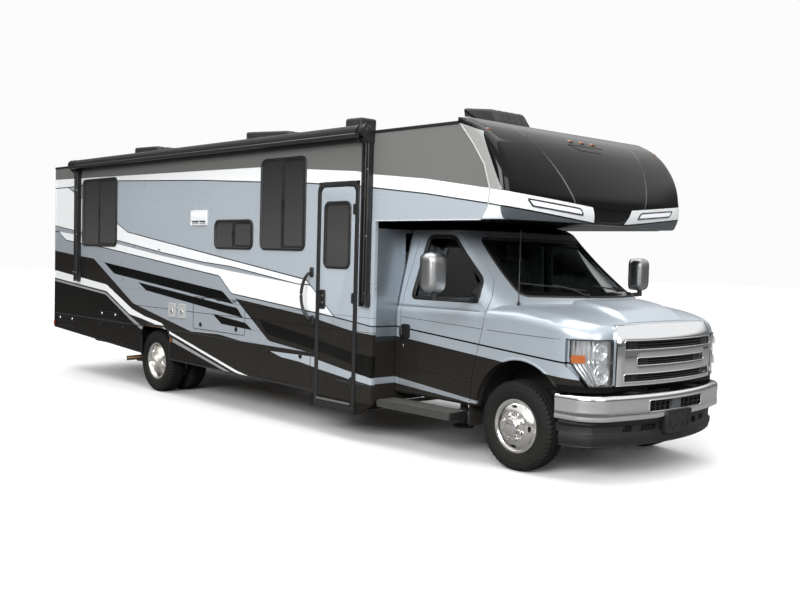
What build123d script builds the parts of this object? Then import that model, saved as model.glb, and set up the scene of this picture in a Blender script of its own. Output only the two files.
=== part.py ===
"""Motorhome: a coach body with an over-cab bunk on a cutaway van chassis with twin rear wheels.

Millimetres. While it is built, x runs forward from the front axle, y to the left and z up from
the ground. At export everything moves along x, so that the origin is the middle of the footprint.
"""
from build123d import *
import os

# ---- driving dimensions ----
wheelbase = 5500
front_overhang = 925                  # front axle to the number plate bracket
rear_overhang = 2985                  # rear axle to the end of the hitch receiver
origin_x = (front_overhang - wheelbase - rear_overhang) / 2

coach_rear, coach_front = -8410, -1446
coach_half = 1283                     # coach half width, outside
wall, skirt_wall = 40, 25
floor_low, floor_high = 780, 830
wall_top, roof_edge, roof_crown = 2830, 2850, 2885
bunk_low, bunk_floor = 2042, 2080     # underside and top of the over-cab bunk's floor

cab_sill, cab_roof = 480, 2042
cab_skin, door_skin, hood_skin, glass = 40, 55, 22, 6
gap = 6                               # shut line round every door
nose_x = 735                          # front face of the cab body

tyre_radius, tyre_half = 372, 111
front_track_half, rear_track_half, twin_half = 881, 988, 150
disc_offset = 130                     # tyre centre to the face of the front wheel's disc
kingpin_y, kingpin_radius = 700, 16
spindle_radius, running = 30, 0.05
arch_x, arch_z, arch_radius = 40, 450, 465
steer_radius, arch_skin = 532, 938     # wider wheelhouse inside the body side, for the steered wheel

rail_in, rail_out, rail_low, rail_high = 400, 460, 560, 700
tank_half = 350

pieces = {}


# ---- small makers ----
def slab(x0, x1, y0, y1, z0, z1):
    return Pos((x0 + x1) / 2, (y0 + y1) / 2, (z0 + z1) / 2) * Box(x1 - x0, y1 - y0, z1 - z0)


def flat_outline(points, pull_in):
    """A closed outline in the x-y plane, pulled in all round by pull_in."""
    flat = make_face(Polyline(*points, close=True))
    return offset(flat, amount=-pull_in, kind=Kind.INTERSECTION) if pull_in else flat


def side_prism(points, y0, y1, pull_in=0):      # points are (x, z)
    plane = Plane((0, y0, 0), x_dir=(1, 0, 0), z_dir=(0, -1, 0))
    return extrude(plane * flat_outline(points, pull_in), amount=y1 - y0, dir=(0, 1, 0))


def front_prism(points, x0, x1, pull_in=0):     # points are (y, z)
    plane = Plane((x0, 0, 0), x_dir=(0, 1, 0), z_dir=(1, 0, 0))
    return extrude(plane * flat_outline(points, pull_in), amount=x1 - x0, dir=(1, 0, 0))


def plan_prism(points, z0, z1, pull_in=0):      # points are (x, y)
    return extrude(Pos(0, 0, z0) * flat_outline(points, pull_in), amount=z1 - z0, dir=(0, 0, 1))


def rounded_side(x0, x1, z0, z1, radius, y0, y1):
    plane = Plane(((x0 + x1) / 2, y0, (z0 + z1) / 2), x_dir=(1, 0, 0), z_dir=(0, 1, 0))
    return extrude(plane * RectangleRounded(x1 - x0, z1 - z0, radius), amount=y1 - y0)


def rod(start, end, radius):
    start, end = Vector(*start), Vector(*end)
    low = (Align.CENTER, Align.CENTER, Align.MIN)
    return Plane(origin=start, z_dir=end - start) * Cylinder(radius, (end - start).length, align=low)


def turned(points, x, y, z):                    # points are (y, radius), turned about a y axis
    face = make_face(Polyline(*[(0, a, r) for a, r in points], close=True))
    return Pos(x, y, z) * revolve(face, axis=Axis.Y)


def other_side(shape):
    return mirror(shape, about=Plane.XZ)


def joined(shapes):
    shapes = list(shapes)
    total = shapes[0]
    for shape in shapes[1:]:
        total = total + shape
    return total


# ---- cab body ----
# x station, half width, edge height, crown height of the lower body
body_stations = [
    (coach_front, 1000, 1345, 1385),
    (-20, 1000, 1345, 1395),
    (240, 998, 1325, 1395),
    (500, 980, 1280, 1335),
    (690, 860, 1225, 1255),
    (nose_x, 745, 1180, 1200),
]
# height, half width, x of the corner, x of the middle of the windscreen's arc
house_sections = [
    (1340, 972, -360, 352),
    (1970, 812, -808, -654),
    (cab_roof, 700, -950, -790),
]


def body_section(x, half, edge, crown, low):
    corner, drop = 70, 75
    return make_face([
        Line((x, -half, low), (x, -half, edge - drop)),
        Line((x, -half, edge - drop), (x, corner - half, edge)),
        ThreePointArc((x, corner - half, edge), (x, 0, crown), (x, half - corner, edge)),
        Line((x, half - corner, edge), (x, half, edge - drop)),
        Line((x, half, edge - drop), (x, half, low)),
        Line((x, half, low), (x, -half, low)),
    ])


def house_section(z, half, corner_x, middle_x, rear):
    return make_face([
        Line((corner_x, half, z), (rear, half, z)),
        Line((rear, half, z), (rear, -half, z)),
        Line((rear, -half, z), (corner_x, -half, z)),
        ThreePointArc((corner_x, -half, z), (middle_x, 0, z), (corner_x, half, z)),
    ])


def cab_volume(inset, run_out=0):
    """The cab inside its outer skin by inset. It runs out of the floor and the back by run_out."""
    rear, low = coach_front - run_out, cab_sill - run_out
    body, house = [], []
    for x, half, edge, crown in body_stations:
        x = rear if x == coach_front else x - (inset if x == nose_x else 0)
        body.append(body_section(x, half - inset, edge - inset, crown - inset, low))
    for z, half, corner_x, middle_x in house_sections:
        z -= inset if z == cab_roof else (inset + 60 if inset and z == house_sections[0][0] else 0)
        house.append(house_section(z, half - inset, corner_x - inset, middle_x - 1.8 * inset, rear))
    return loft(body, ruled=True) + loft(house, ruled=True)


door_outline = [(-1385, 500), (-1385, 1400), (-1313, 1965), (-833, 1965), (-395, 1560),
                (-330, 1400), (-360, 1150), (-420, 930), (-475, 720), (-475, 500)]
door_window = [(-1277, 1352), (-1210, 1922), (-876, 1922), (-465, 1545), (-452, 1358)]
hood_outline = [(60, -790), (285, -380), (300, 0), (285, 380), (60, 790),
                (560, 770), (680, 690), (690, 0), (680, -690), (560, -770)]
screen_outline = [(-775, 1425), (-700, 1905), (700, 1905), (775, 1425)]
lamp_outline = [(540, -1010), (640, -935), (715, -840), (757, -705), (700, -690), (655, -790),
                (580, -880), (490, -950), (490, -1010)]
lamp_low, lamp_high = 760, 1130
door_in = -768                        # y that no door reaches past

outer_cab = cab_volume(0)
inner_cab = cab_volume(cab_skin, 400)
pane_shell = cab_volume(10) - cab_volume(10 + glass, 400)


def arch_drum(radius, y0, y1):
    drum = Pos(arch_x, (y0 + y1) / 2, arch_z) * Rot(90, 0, 0) * Cylinder(radius, y1 - y0)
    return drum & slab(-700, 760, y0, y1, 0, 1100)


liner, liner_in = 14, 480             # wall of the wheelhouse and |y| of its inner face
wheel_space = arch_drum(steer_radius, liner_in + liner, arch_skin)
wheel_space += arch_drum(arch_radius, liner_in + liner, 1200)
wheelhouse = arch_drum(steer_radius + liner, liner_in, arch_skin + liner)
wheelhouse = (wheelhouse & slab(-700, 760, 0, 1200, cab_sill, 1100)) - wheel_space

cab = outer_cab - inner_cab
cab += slab(coach_front, -290, -975, 975, 700, 740)
cab += slab(-300, -270, -975, 975, 700, 1380) & cab_volume(10)
for side_house in (wheelhouse, other_side(wheelhouse)):
    cab += side_house & cab_volume(5)
cab -= wheel_space + other_side(wheel_space)
cab -= slab(380, 1000, -1100, 1100, 0, 715)
door_hole = side_prism(door_outline, -1100, door_in)
lamp_pocket = plan_prism(lamp_outline, lamp_low, lamp_high)
cab -= door_hole + other_side(door_hole)
cab -= lamp_pocket + other_side(lamp_pocket)
cab -= plan_prism(hood_outline, 1080, 1422)
cab -= front_prism(screen_outline, -900, 600) & (outer_cab - slab(-3000, 900, -1100, 1100, 0, 1400))
pieces["cab_shell"] = cab

pieces["windscreen"] = pane_shell & front_prism(screen_outline, -900, 600)
pieces["hood"] = (outer_cab - cab_volume(hood_skin, 400)) & plan_prism(hood_outline, 1080, 1422, gap)
lamp = plan_prism(lamp_outline, lamp_low, lamp_high, 1)
pieces["headlamps"] = lamp + other_side(lamp)

door = (outer_cab - cab_volume(door_skin, 400)) & side_prism(door_outline, -1100, door_in, gap)
door -= side_prism(door_window, -1100, door_in)
door -= slab(-430, -300, -908, -700, 1150, 1420)
pane = pane_shell & side_prism(door_window, -1100, door_in)
mirror_x, mirror_y, mirror_z = -488, -1470, 1605
mirror_shell = Pos(mirror_x, mirror_y, mirror_z) * Box(145, 190, 330)
mirror_shell = fillet(mirror_shell.edges(), 30)
arm_z, arm_radius = 1400, 18
arm = rod((-520, -930, arm_z), (mirror_x, mirror_y, arm_z), arm_radius)
arm += rod((mirror_x, mirror_y, arm_z - arm_radius), (mirror_x, mirror_y, 1460), arm_radius)
mirror_foot = [(-610, 1350), (-438, 1344), (-450, 1540)]      # plate over the window's front corner
foot = cab_volume(-20) & side_prism(mirror_foot, -1100, door_in)
mirror_right = mirror_shell + ((arm + foot) - outer_cab)
for side, flip in (("right", lambda shape: shape), ("left", other_side)):
    pieces["cab_door_" + side] = flip(door)
    pieces["cab_door_glass_" + side] = flip(pane)
    pieces["mirror_" + side] = flip(mirror_right)

# seats, dashboard and steering wheel
seat = joined([
    slab(-1290, -800, 200, 700, 740, 960),
    slab(-1290, -770, 200, 700, 960, 1080),
    side_prism([(-1290, 1060), (-1180, 1080), (-1290, 1720), (-1370, 1720)], 210, 690),
    side_prism([(-1335, 1700), (-1265, 1700), (-1285, 1880), (-1345, 1880)], 340, 560),
])
pieces["cab_seats"] = seat + other_side(seat)
dash_profile = [(-300, 980), (-300, 1340), (-420, 1360), (-560, 1290), (-540, 1100), (-420, 980)]
wheel_centre, column_foot = (-690, 450, 1280), (-520, 450, 1180)
dash = side_prism(dash_profile, -880, 880) & cab_volume(60)
column_plane = Plane(origin=wheel_centre, z_dir=Vector(*wheel_centre) - Vector(*column_foot))
dash += rod(column_foot, wheel_centre, 28)
dash += column_plane * Torus(190, 15)
dash += joined(column_plane * Rot(0, 0, turn) * Pos(95, 0, 0) * Box(190, 34, 14)
               for turn in (0, 180, 270))
pieces["dashboard"] = dash

# front bumper, valance and grille
bumper_plan = make_face([
    Line((400, -980), (600, -980)),
    ThreePointArc((600, -980), (735, -900), (800, -760)),
    ThreePointArc((800, -760), (905, 0), (800, 760)),
    ThreePointArc((800, 760), (735, 900), (600, 980)),
    Line((600, 980), (400, 980)), Line((400, 980), (400, 945)), Line((400, 945), (590, 945)),
    ThreePointArc((590, 945), (705, 872), (762, 745)),
    ThreePointArc((762, 745), (864, 0), (762, -745)),
    ThreePointArc((762, -745), (705, -872), (590, -945)),
    Line((590, -945), (400, -945)), Line((400, -945), (400, -980)),
])
bumper_low, bumper_high = 495, 702
bumper = extrude(Pos(0, 0, bumper_low) * bumper_plan, amount=bumper_high - bumper_low)
pieces["front_bumper"] = bumper - slab(780, 1000, -400, 400, 560, 660)

valance = make_face([
    ThreePointArc((690, -880), (870, 0), (690, 880)),
    Line((690, 880), (660, 862)),
    ThreePointArc((660, 862), (840, 0), (660, -862)),
    Line((660, -862), (690, -880)),
])
valance = extrude(Pos(0, 0, 285) * valance, amount=bumper_low - 285)
plate_holes = [(y, 455 + z) for y in (-89, 89) for z in (-60.5, 60.5)]
plate_plinth = slab(845, front_overhang, -180, 180, 360, bumper_low)
plate_plinth += slab(908, front_overhang, -180, 180, bumper_low, 550)
for y, z in plate_holes:
    plate_plinth -= Pos(front_overhang - 8, y, z) * Rot(0, 90, 0) * Cylinder(3.5, 40)
pieces["bumper_valance"] = valance + plate_plinth

grille_arc = 2900                     # radius of the grille in plan
grille_profile = [(800, 762), (857, 762), (862, 1110), (845, 1150), (706, 1262), (690, 1236),
                  (800, 1120)]
grille_face = Plane.XZ * flat_outline([(x - 857 + grille_arc, z) for x, z in grille_profile], 0)
grille = revolve(Rot(0, 0, -13) * grille_face, axis=Axis.Z, revolution_arc=26)
grille = Pos(857 - grille_arc, 0, 0) * grille
for half, low, high in [(630, 1055, 1120), (497, 926, 980), (630, 800, 857)]:
    grille -= slab(600, 1000, -half, half, low, high)
pieces["grille"] = (grille & slab(600, 1000, -668, 668, 0, 2000)) - outer_cab

# ---- frame and running gear ----
# x stations and half lengths of the cross members under the floor
cross_members = [(-8300, 1200), (-7500, 1200), (-6600, 1200), (-6000, 680), (-4950, 1150),
                 (-4300, 1150), (-3350, 1150), (-2500, 720), (-1560, 720)]
rail = slab(-8380, 800, rail_in, rail_out, rail_low, rail_high)
rail -= slab(-8390, 810, rail_in - 10, rail_out - 12, rail_low + 12, rail_high - 12)
frame = rail + other_side(rail)
for x, half in cross_members:
    frame += slab(x - 30, x + 30, -half, half, rail_high, floor_low)
for x in (-8300, -6600, -4300, -2500, -1100, 560):
    frame += slab(x - 30, x + 30, -rail_in - 5, rail_in + 5, rail_low, rail_low + 12)
    frame += slab(x - 6, x + 6, -rail_in - 5, rail_in + 5, rail_low, rail_low + 90)
pieces["frame_rails"] = frame - bumper

beam_z = 330
eye_half = 42
front_axle = slab(-40, 40, -kingpin_y, kingpin_y, beam_z - 40, beam_z + 40)
for y in (-kingpin_y, kingpin_y):
    front_axle += rod((0, y, beam_z - eye_half), (0, y, beam_z + eye_half), 45)
for y in (-430, 430):
    front_axle += rod((0, y, beam_z), (0, y, rail_low), 28)
    front_axle += joined(Pos(0, y, z) * Torus(40, 8) for z in range(385, rail_low - 15, 26))
    front_axle += joined(Pos(0, y, z) * Cylinder(40, 6) for z in range(385, rail_low - 15, 26))
    front_axle += rod((-20, y * 0.96, beam_z), (-1100, y * 0.96, 500), 22)
    front_axle += slab(-1140, -1060, y * 0.96 - 25, y * 0.96 + 25, 470, rail_low)
for y in (-kingpin_y, kingpin_y):
    front_axle -= rod((0, y, 0), (0, y, 700), kingpin_radius + running)
pieces["front_axle"] = front_axle

spindle_end = front_track_half + disc_offset + 20
yoke_gap = eye_half + 6
knuckle = rod((0, kingpin_y, beam_z - yoke_gap - 22), (0, kingpin_y, beam_z + yoke_gap + 22),
              kingpin_radius)
for low in (beam_z - yoke_gap - 22, beam_z + yoke_gap):
    knuckle += rod((0, kingpin_y, low), (0, kingpin_y, low + 22), 40)
    knuckle += slab(-34, 34, kingpin_y, 790, low, low + 22)
knuckle += slab(-40, 40, kingpin_y + 52, 795, beam_z - 70, tyre_radius + 60)
knuckle += rod((0, kingpin_y + 60, tyre_radius), (0, 800, tyre_radius), 60)
knuckle += rod((0, 790, tyre_radius), (0, spindle_end, tyre_radius), spindle_radius)
pieces["knuckle_left"] = knuckle
pieces["knuckle_right"] = other_side(knuckle)

axle_x = -wheelbase
drum_in, drum_out = 735, 860
rear_axle = rod((axle_x, -drum_out, tyre_radius), (axle_x, drum_out, tyre_radius), 52)
rear_axle += rod((axle_x, -110, tyre_radius), (axle_x, 110, tyre_radius), 165)
rear_axle += rod((axle_x + 100, 0, tyre_radius), (axle_x + 300, 0, tyre_radius), 60)
rear_axle += rod((axle_x + 300, 0, tyre_radius), (-1250, 0, 520), 42)
spring_arc = make_face([
    ThreePointArc((axle_x - 720, 0, 540), (axle_x, 0, 285), (axle_x + 720, 0, 540)),
    Line((axle_x + 720, 0, 540), (axle_x + 720, 0, rail_low)),
    Line((axle_x + 720, 0, rail_low), (axle_x + 690, 0, rail_low)),
    ThreePointArc((axle_x + 690, 0, rail_low), (axle_x, 0, 335), (axle_x - 690, 0, rail_low)),
    Line((axle_x - 690, 0, rail_low), (axle_x - 720, 0, rail_low)),
    Line((axle_x - 720, 0, rail_low), (axle_x - 720, 0, 540)),
])
for side in (-1, 1):
    rear_axle += extrude(Pos(0, side * 430 - 38, 0) * spring_arc, amount=76, dir=(0, 1, 0))
    y0, y1 = sorted((side * drum_in, side * drum_out))
    rear_axle += rod((axle_x, y0, tyre_radius), (axle_x, y1, tyre_radius), 160)
    rear_axle += rod((axle_x, side * drum_out, tyre_radius), (axle_x, side * 1105, tyre_radius), 40)
pieces["rear_axle"] = rear_axle

pieces["engine_block"] = slab(-240, 420, -290, 290, 500, 1020)
gearbox = rod((-240, 0, 540), (-1240, 0, 540), 130) + slab(-900, -500, -150, 150, 440, 540)
pieces["gearbox"] = gearbox - pieces["frame_rails"] - pieces["rear_axle"]
pieces["fuel_tank"] = slab(-8150, -6750, -tank_half, tank_half, 430, rail_low)
pieces["fuel_tank"] += slab(-7560, -7440, -200, 200, rail_low, rail_high)

pipe = FilletPolyline((-1300, -560, 520), (-5900, -600, 500), (-6080, -800, 370), (-6300, -1220, 325),
                      radius=[150, 90])
exhaust = sweep(Plane(origin=pipe @ 0, z_dir=pipe % 0) * Circle(30), path=pipe)
exhaust += rod((-3100, -572, 513), (-3900, -580, 509), 95)
exhaust += slab(-3500, -3460, -600, -560, 590, rail_high)
exhaust += slab(-3500, -3460, -600, -440, rail_high - 12, rail_high)
pieces["exhaust"] = exhaust - pieces["frame_rails"]

jack_x, jack_y = (-890, -6950), 640
jacks = []
for x in jack_x:
    jack = rod((x, jack_y, 245), (x, jack_y, 650), 36) + rod((x, jack_y, 215), (x, jack_y, 245), 24)
    jack += rod((x, jack_y, 200), (x, jack_y, 216), 95)
    jack += slab(x - 45, x + 45, rail_out, jack_y, 590, 640)
    jacks += [jack, other_side(jack)]
pieces["levelling_jacks"] = joined(jacks)

# ---- wheels ----
# profile of a tyre, as (across, radius) from the bead round the outside and back inside
tyre_profile = [(-68, 207.5), (-83, 207.5), (-83, 224), (-101, 236), (-108, 260), (-tyre_half, 295),
                (-106, 335), (-92, 362), (-74, tyre_radius), (74, tyre_radius), (92, 362),
                (106, 335), (tyre_half, 295), (108, 260), (101, 236), (83, 224), (83, 207.5),
                (68, 207.5), (72, 238), (94, 268), (99, 300), (91, 340), (70, 352), (-70, 352),
                (-91, 340), (-99, 300), (-94, 268), (-72, 238)]
barrel_out = [(-84, 222), (-84, 207), (-66, 204), (-50, 186), (50, 186), (66, 204), (84, 207),
              (84, 222)]
# the front disc bulges outwards; the rear discs lie deep inside, back to back
rim_edge = barrel_out + [(90, 222), (90, 201)]
front_rim_profile = rim_edge + [(98, 180), (122, 128), (126, 84), (164, 72), (172, 40), (172, 0),
                                (158, 0), (158, 33), (44, 33), (44, 80), (100, 122), (74, 178),
                                (-50, 178), (-66, 196), (-90, 200), (-90, 222)]
axle_bore = 40 + running
rear_disc = rim_edge + [(68, 196), (52, 178), (-60, 178), (-118, 150), (-134, 84)]
rear_hub = [(-60, 74), (-6, 60), (-2, 0), (-16, 0), (-16, axle_bore)]
rear_back = [(-twin_half, axle_bore), (-twin_half, 120), (-128, 165), (-84, 190), (-90, 200),
             (-90, 222)]


def tyre(x, y):
    return turned(tyre_profile, x, y, tyre_radius)


def nut_ring(radius, low, high):
    return joined(Rot(0, 45 * i + 22.5, 0) * rod((radius, low, 0), (radius, high, 0), 15)
                  for i in range(8))


def hand_holes(radius, low, high):
    slot = Rot(90, 0, 0) * Rot(0, 0, 90) * extrude(SlotOverall(84, 36), amount=high - low)
    return joined(Rot(0, turn, 0) * Pos(radius, high, 0) * slot for turn in (45, 135, 225, 315))


front_rim = turned(front_rim_profile, 0, 0, 0) + nut_ring(104, 112, 150)
front_rim -= rod((0, -50, 0), (0, 158, 0), spindle_radius + running)
front_rim -= hand_holes(153, 40, 140)
front_rim = Pos(0, front_track_half, tyre_radius) * front_rim
front_tyre = tyre(0, front_track_half)

outer_y, inner_y = rear_track_half + twin_half, rear_track_half - twin_half
inner_rim = turned(rear_disc + [(-134, axle_bore)] + rear_back, 0, 0, 0)
inner_rim = mirror(inner_rim, about=Plane.XZ.offset(twin_half))
rear_rims = turned(rear_disc + rear_hub + rear_back, 0, 0, 0) + nut_ring(96, -136, -92) + inner_rim
rear_rims -= hand_holes(143, -200, -80)
rear_rims = Pos(axle_x, outer_y, tyre_radius) * rear_rims
rear_tyres = tyre(axle_x, outer_y) + tyre(axle_x, inner_y)
for side, flip in (("left", lambda shape: shape), ("right", other_side)):
    pieces["tyre_front_" + side] = flip(front_tyre)
    pieces["rim_front_" + side] = flip(front_rim)
    pieces["tyres_rear_" + side] = flip(rear_tyres)
    pieces["rims_rear_" + side] = flip(rear_rims)

# ---- coach body ----
seam = [(-166, bunk_low), (-85, 2167), (-75, 2287), (-140, 2480), (-264, 2650), (-410, 2815),
        (-445, roof_edge)]
seam_wall = [point for point in seam if point[1] < wall_top] + [(-428, wall_top)]
door_frame = (-2278, -1667, 262, 2412)          # outside of the entry door's frame
skirt_rear_low, skirt_front_low, corner_low = 584, 400, 368
arch_hole = [(-5790, 300), (-5790, 760), (-5700, 812), (-5300, 812), (-5125, 740), (-5090, 300)]

# windows on the right: x from, x to, z from, z to; the left wall has the first three
windows = [(-7480, -6505, 1768, 2615), (-3230, -2500, 1776, 2660), (-4115, -3406, 1775, 2048)]
hatch = (-4640, -4300, 2010, 2180)
rear_window = (-480, 480, 1760, 2330)           # y from, y to, z from, z to
# storage doors: name, x from, x to, z from, z to, wall thickness there, side
storage_doors = [
    ("storage_door_rear_right", -7080, -6110, 500, 765, skirt_wall, -1),
    ("storage_door_middle_right", -4565, -3515, 845, 1200, wall, -1),
    ("storage_door_front_right", -3240, -2360, 440, 765, skirt_wall, -1),
    ("storage_door_rear_left", -7080, -6110, 500, 765, skirt_wall, 1),
    ("storage_door_front_left", -4200, -2900, 440, 765, skirt_wall, 1),
]

right_outline = [(coach_rear, floor_low), (-2330, floor_low), (-2330, 262), (-1640, 262),
                 (coach_front, corner_low), (coach_front, bunk_low)] + seam_wall + \
                [(coach_rear, wall_top)]
left_outline = [(coach_rear, floor_low), (coach_front, floor_low), (coach_front, bunk_low)] + \
    seam_wall + [(coach_rear, wall_top)]
wall_right = side_prism(right_outline, -coach_half, wall - coach_half)
wall_left = side_prism(left_outline, coach_half - wall, coach_half)
openings = joined(rounded_side(*window, 55, -coach_half - 50, coach_half + 50)
                  for window in windows)
wall_right -= openings
wall_left -= openings
wall_right -= slab(door_frame[0], door_frame[1], -1400, -1100, door_frame[2] - 10, door_frame[3])

rear_bottom = [(coach_rear, floor_low), (coach_rear, skirt_rear_low), (-5790, 445)]
rear_skirt = rear_bottom + [(-5790, floor_low)]
middle_skirt = [(-5110, floor_low), (-5090, 430), (-3500, 420), (-2330, skirt_front_low)]
right_skirt = middle_skirt + [(-2330, floor_low)]
left_skirt = middle_skirt + [(coach_front, corner_low), (coach_front, floor_low)]
skirt_right = joined(side_prism(outline, -coach_half, skirt_wall - coach_half)
                     for outline in (rear_skirt, right_skirt))
skirt_left = joined(side_prism(outline, coach_half - skirt_wall, coach_half)
                    for outline in (rear_skirt, left_skirt))
arch_cut = side_prism(arch_hole, -coach_half - 10, coach_half + 10)
wall_right -= arch_cut
wall_left -= arch_cut

storage_boxes = []
walls = {-1: [wall_right, skirt_right], 1: [wall_left, skirt_left]}
for name, x0, x1, z0, z1, thick, side in storage_doors:
    y0, y1 = sorted((side * coach_half, side * (coach_half - thick)))
    hole0, hole1 = sorted((side * (coach_half + 10), side * (coach_half - 60)))
    walls[side] = [panel - rounded_side(x0 - gap, x1 + gap, z0 - gap, z1 + gap, 30, hole0, hole1)
                   for panel in walls[side]]
    pieces[name] = rounded_side(x0, x1, z0, z1, 26, y0, y1)
    in0, in1 = sorted((side * (coach_half - thick), side * 720))
    low, high = (z0 - 14, z1 + 16) if z0 > floor_high else (z0 - 14, rail_high)
    box = slab(x0 - 16, x1 + 16, in0, in1, low, high)
    hollow0, hollow1 = sorted((side * (coach_half + 1), side * 730))
    storage_boxes.append(box - slab(x0 - 6, x1 + 6, hollow0, hollow1, low + 8, high - 8))
pieces["storage_boxes"] = joined(storage_boxes)
pieces["wall_right"], pieces["skirt_right"] = walls[-1]
pieces["wall_left"], pieces["skirt_left"] = walls[1]

inner_half = coach_half - wall
rear_inner = coach_rear + wall
rear_wall = slab(coach_rear, rear_inner, -inner_half, inner_half, floor_low, wall_top)
rear_wall += slab(coach_rear, coach_rear + skirt_wall, skirt_wall - coach_half,
                  coach_half - skirt_wall, skirt_rear_low, floor_low)
rear_hole = Plane((coach_rear - 5, 0, (rear_window[2] + rear_window[3]) / 2), x_dir=(0, 1, 0),
                  z_dir=(1, 0, 0)) * RectangleRounded(rear_window[1] - rear_window[0],
                                                     rear_window[3] - rear_window[2], 55)
rear_hole = extrude(rear_hole, amount=60)
pieces["wall_rear"] = rear_wall - rear_hole

well_x, well_y = (-2260, -1700), -760           # entry stepwell
floor_slab = slab(rear_inner, coach_front - wall, -inner_half, inner_half, floor_low, floor_high)
floor_slab -= slab(*well_x, -1300, well_y, 0, 1000)
well = slab(well_x[0] - 10, well_x[1] + 10, -inner_half, well_y + 10, 285, floor_low)
well -= slab(*well_x, -1300, well_y, 300, 900)
well += slab(*well_x, -1010, well_y, 540, 560) + slab(*well_x, -1010, -1000, 300, 540)
pieces["coach_floor"] = floor_slab
pieces["entry_steps"] = well - floor_slab

roof_line = [(-coach_half, wall_top), (-coach_half, roof_edge), (-1150, roof_crown - 12),
             (0, roof_crown), (1150, roof_crown - 12), (coach_half, roof_edge),
             (coach_half, wall_top)]
pieces["roof"] = front_prism(roof_line, coach_rear, seam[-1][0])

# over-cab cap: height, x of its middle, x of its corners
cap_sections = [(bunk_low, 155, 30), (2135, 195, 72), (2270, 188, 75), (2480, 95, 28),
                (2670, -45, -88), (2800, -215, -235), (roof_crown, -400, -405)]


def cap_volume(inset):
    faces = []
    for z, middle_x, side_x in cap_sections:
        z += inset if z == bunk_low else (-inset if z == roof_crown else 0)
        half, front = coach_half - inset, side_x - inset
        back, shoulder = -600, front - 55
        side = half - 95
        faces.append(make_face([
            Line((back, half, z), (back, -half, z)), Line((back, -half, z), (shoulder, -half, z)),
            Line((shoulder, -half, z), (front, -side, z)),
            ThreePointArc((front, -side, z), (middle_x - inset, 0, z), (front, side, z)),
            Line((front, side, z), (shoulder, half, z)), Line((shoulder, half, z), (back, half, z)),
        ]))
    return loft(faces, ruled=True)


ahead = side_prism(seam + [(-445, 3000), (600, 3000), (600, 1900), (-166, 1900)], -1400, 1400)
cap_inner = cap_volume(30) & slab(-700, 400, -1400, 1400, bunk_floor, 3000)
pieces["front_cap"] = (cap_volume(0) - cap_inner) & ahead

bulkhead = slab(coach_front - wall, coach_front, -inner_half, inner_half, corner_low + 30, bunk_low)
bulkhead -= slab(-1500, -1400, -900, 900, floor_high, 1940)
bulkhead -= slab(-1500, -1400, -640, 640, 300, rail_high + 10)
bunk_slab = slab(coach_front - wall, -166, -inner_half, inner_half, bunk_low, bunk_floor)
pieces["front_wall"] = bulkhead + bunk_slab

# window frames stand proud of the wall; the entry door's frame is one of them
frames, glazing = [], []
proud = 10
for x0, x1, z0, z1 in windows:
    for side in (-1, 1):
        y0, y1 = sorted((side * coach_half, side * (coach_half + proud)))
        ring = rounded_side(x0 - 24, x1 + 24, z0 - 24, z1 + 24, 75, y0, y1)
        ring -= rounded_side(x0, x1, z0, z1, 55, y0, y1)
        middle = (x0 + x1) / 2
        ring += slab(middle - 11, middle + 11, y0, y1, z0, z1)
        frames.append(ring)
        y0, y1 = sorted((side * coach_half, side * (coach_half - 8)))
        glazing.append(rounded_side(x0, x1, z0, z1, 55, y0, y1))
frames.append(rounded_side(*hatch, 12, -coach_half - 14, -coach_half))
ring = slab(coach_rear - proud, coach_rear, rear_window[0] - 24, rear_window[1] + 24,
            rear_window[2] - 24, rear_window[3] + 24)
frames.append(ring - rear_hole)
glazing.append(rear_hole & slab(coach_rear, coach_rear + 8, -600, 600, 1700, 2400))
x0, x1, z0, z1 = door_frame
entry_outline = [(x0 + 54, z0 + 72), (x0 + 54, z1 - 52), (x1 - 54, z1 - 52), (x1 - 54, z0 + 72)]
frame_outline = [(x0, z0), (x0, z1), (x1, z1), (x1, z0)]
entry_frame = side_prism(frame_outline, -coach_half - 14, -inner_half)
entry_frame -= side_prism(entry_outline, -1400, -1100, -gap)
pieces["entry_frame"] = entry_frame
pieces["window_frames"] = joined(frames)
pieces["window_glass"] = joined(glazing)

entry_window = (-2145, -1797, 1620, 2203)
entry_face = -coach_half - 8
entry = side_prism(entry_outline, entry_face, entry_face + 44)
pieces["entry_door"] = entry - rounded_side(*entry_window, 40, -1400, -1100)
pieces["entry_door_glass"] = rounded_side(*entry_window, 40, entry_face + 4, entry_face + 12)

# awning: roller tube with end heads and two folded arms on the right wall
awning_x, awning_arms = (-7730, -1480), (-7600, -1535)
awning = rod((awning_x[0], -1362, 2845), (awning_x[1], -1362, 2845), 62)
for x in awning_arms:
    awning += slab(x - 50, x + 50, -1360, -coach_half, 1260, 2740)
    awning += slab(x - 62, x + 62, -1425, -coach_half, 2735, 2905)
pieces["awning"] = awning - pieces["roof"] - pieces["wall_right"]

# roof units: x of the foot and the top at the back, of the top and the foot at the front,
# y of the middle, half width, height of the top at the back and the front
roof_units = [(-1340, -1410, -1035, -920, 0, 240, 3170, 3125),
              (-3065, -3060, -2790, -2775, -233, 117, 3195, 3190),
              (-5000, -4990, -4130, -3980, 0, 345, 3200, 3150),
              (-7890, -7880, -7230, -7030, 0, 345, 3190, 3170)]
units = []
for back_foot, back_top, front_top, front_foot, y, half, back_high, front_high in roof_units:
    units.append(side_prism([(back_foot, 2860), (back_top, back_high), (front_top, front_high),
                             (front_foot - 20, 2960), (front_foot, 2860)], y - half, y + half))
roof_top = pieces["roof"] + pieces["front_cap"]
pieces["roof_units"] = joined(units) - roof_top

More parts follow.
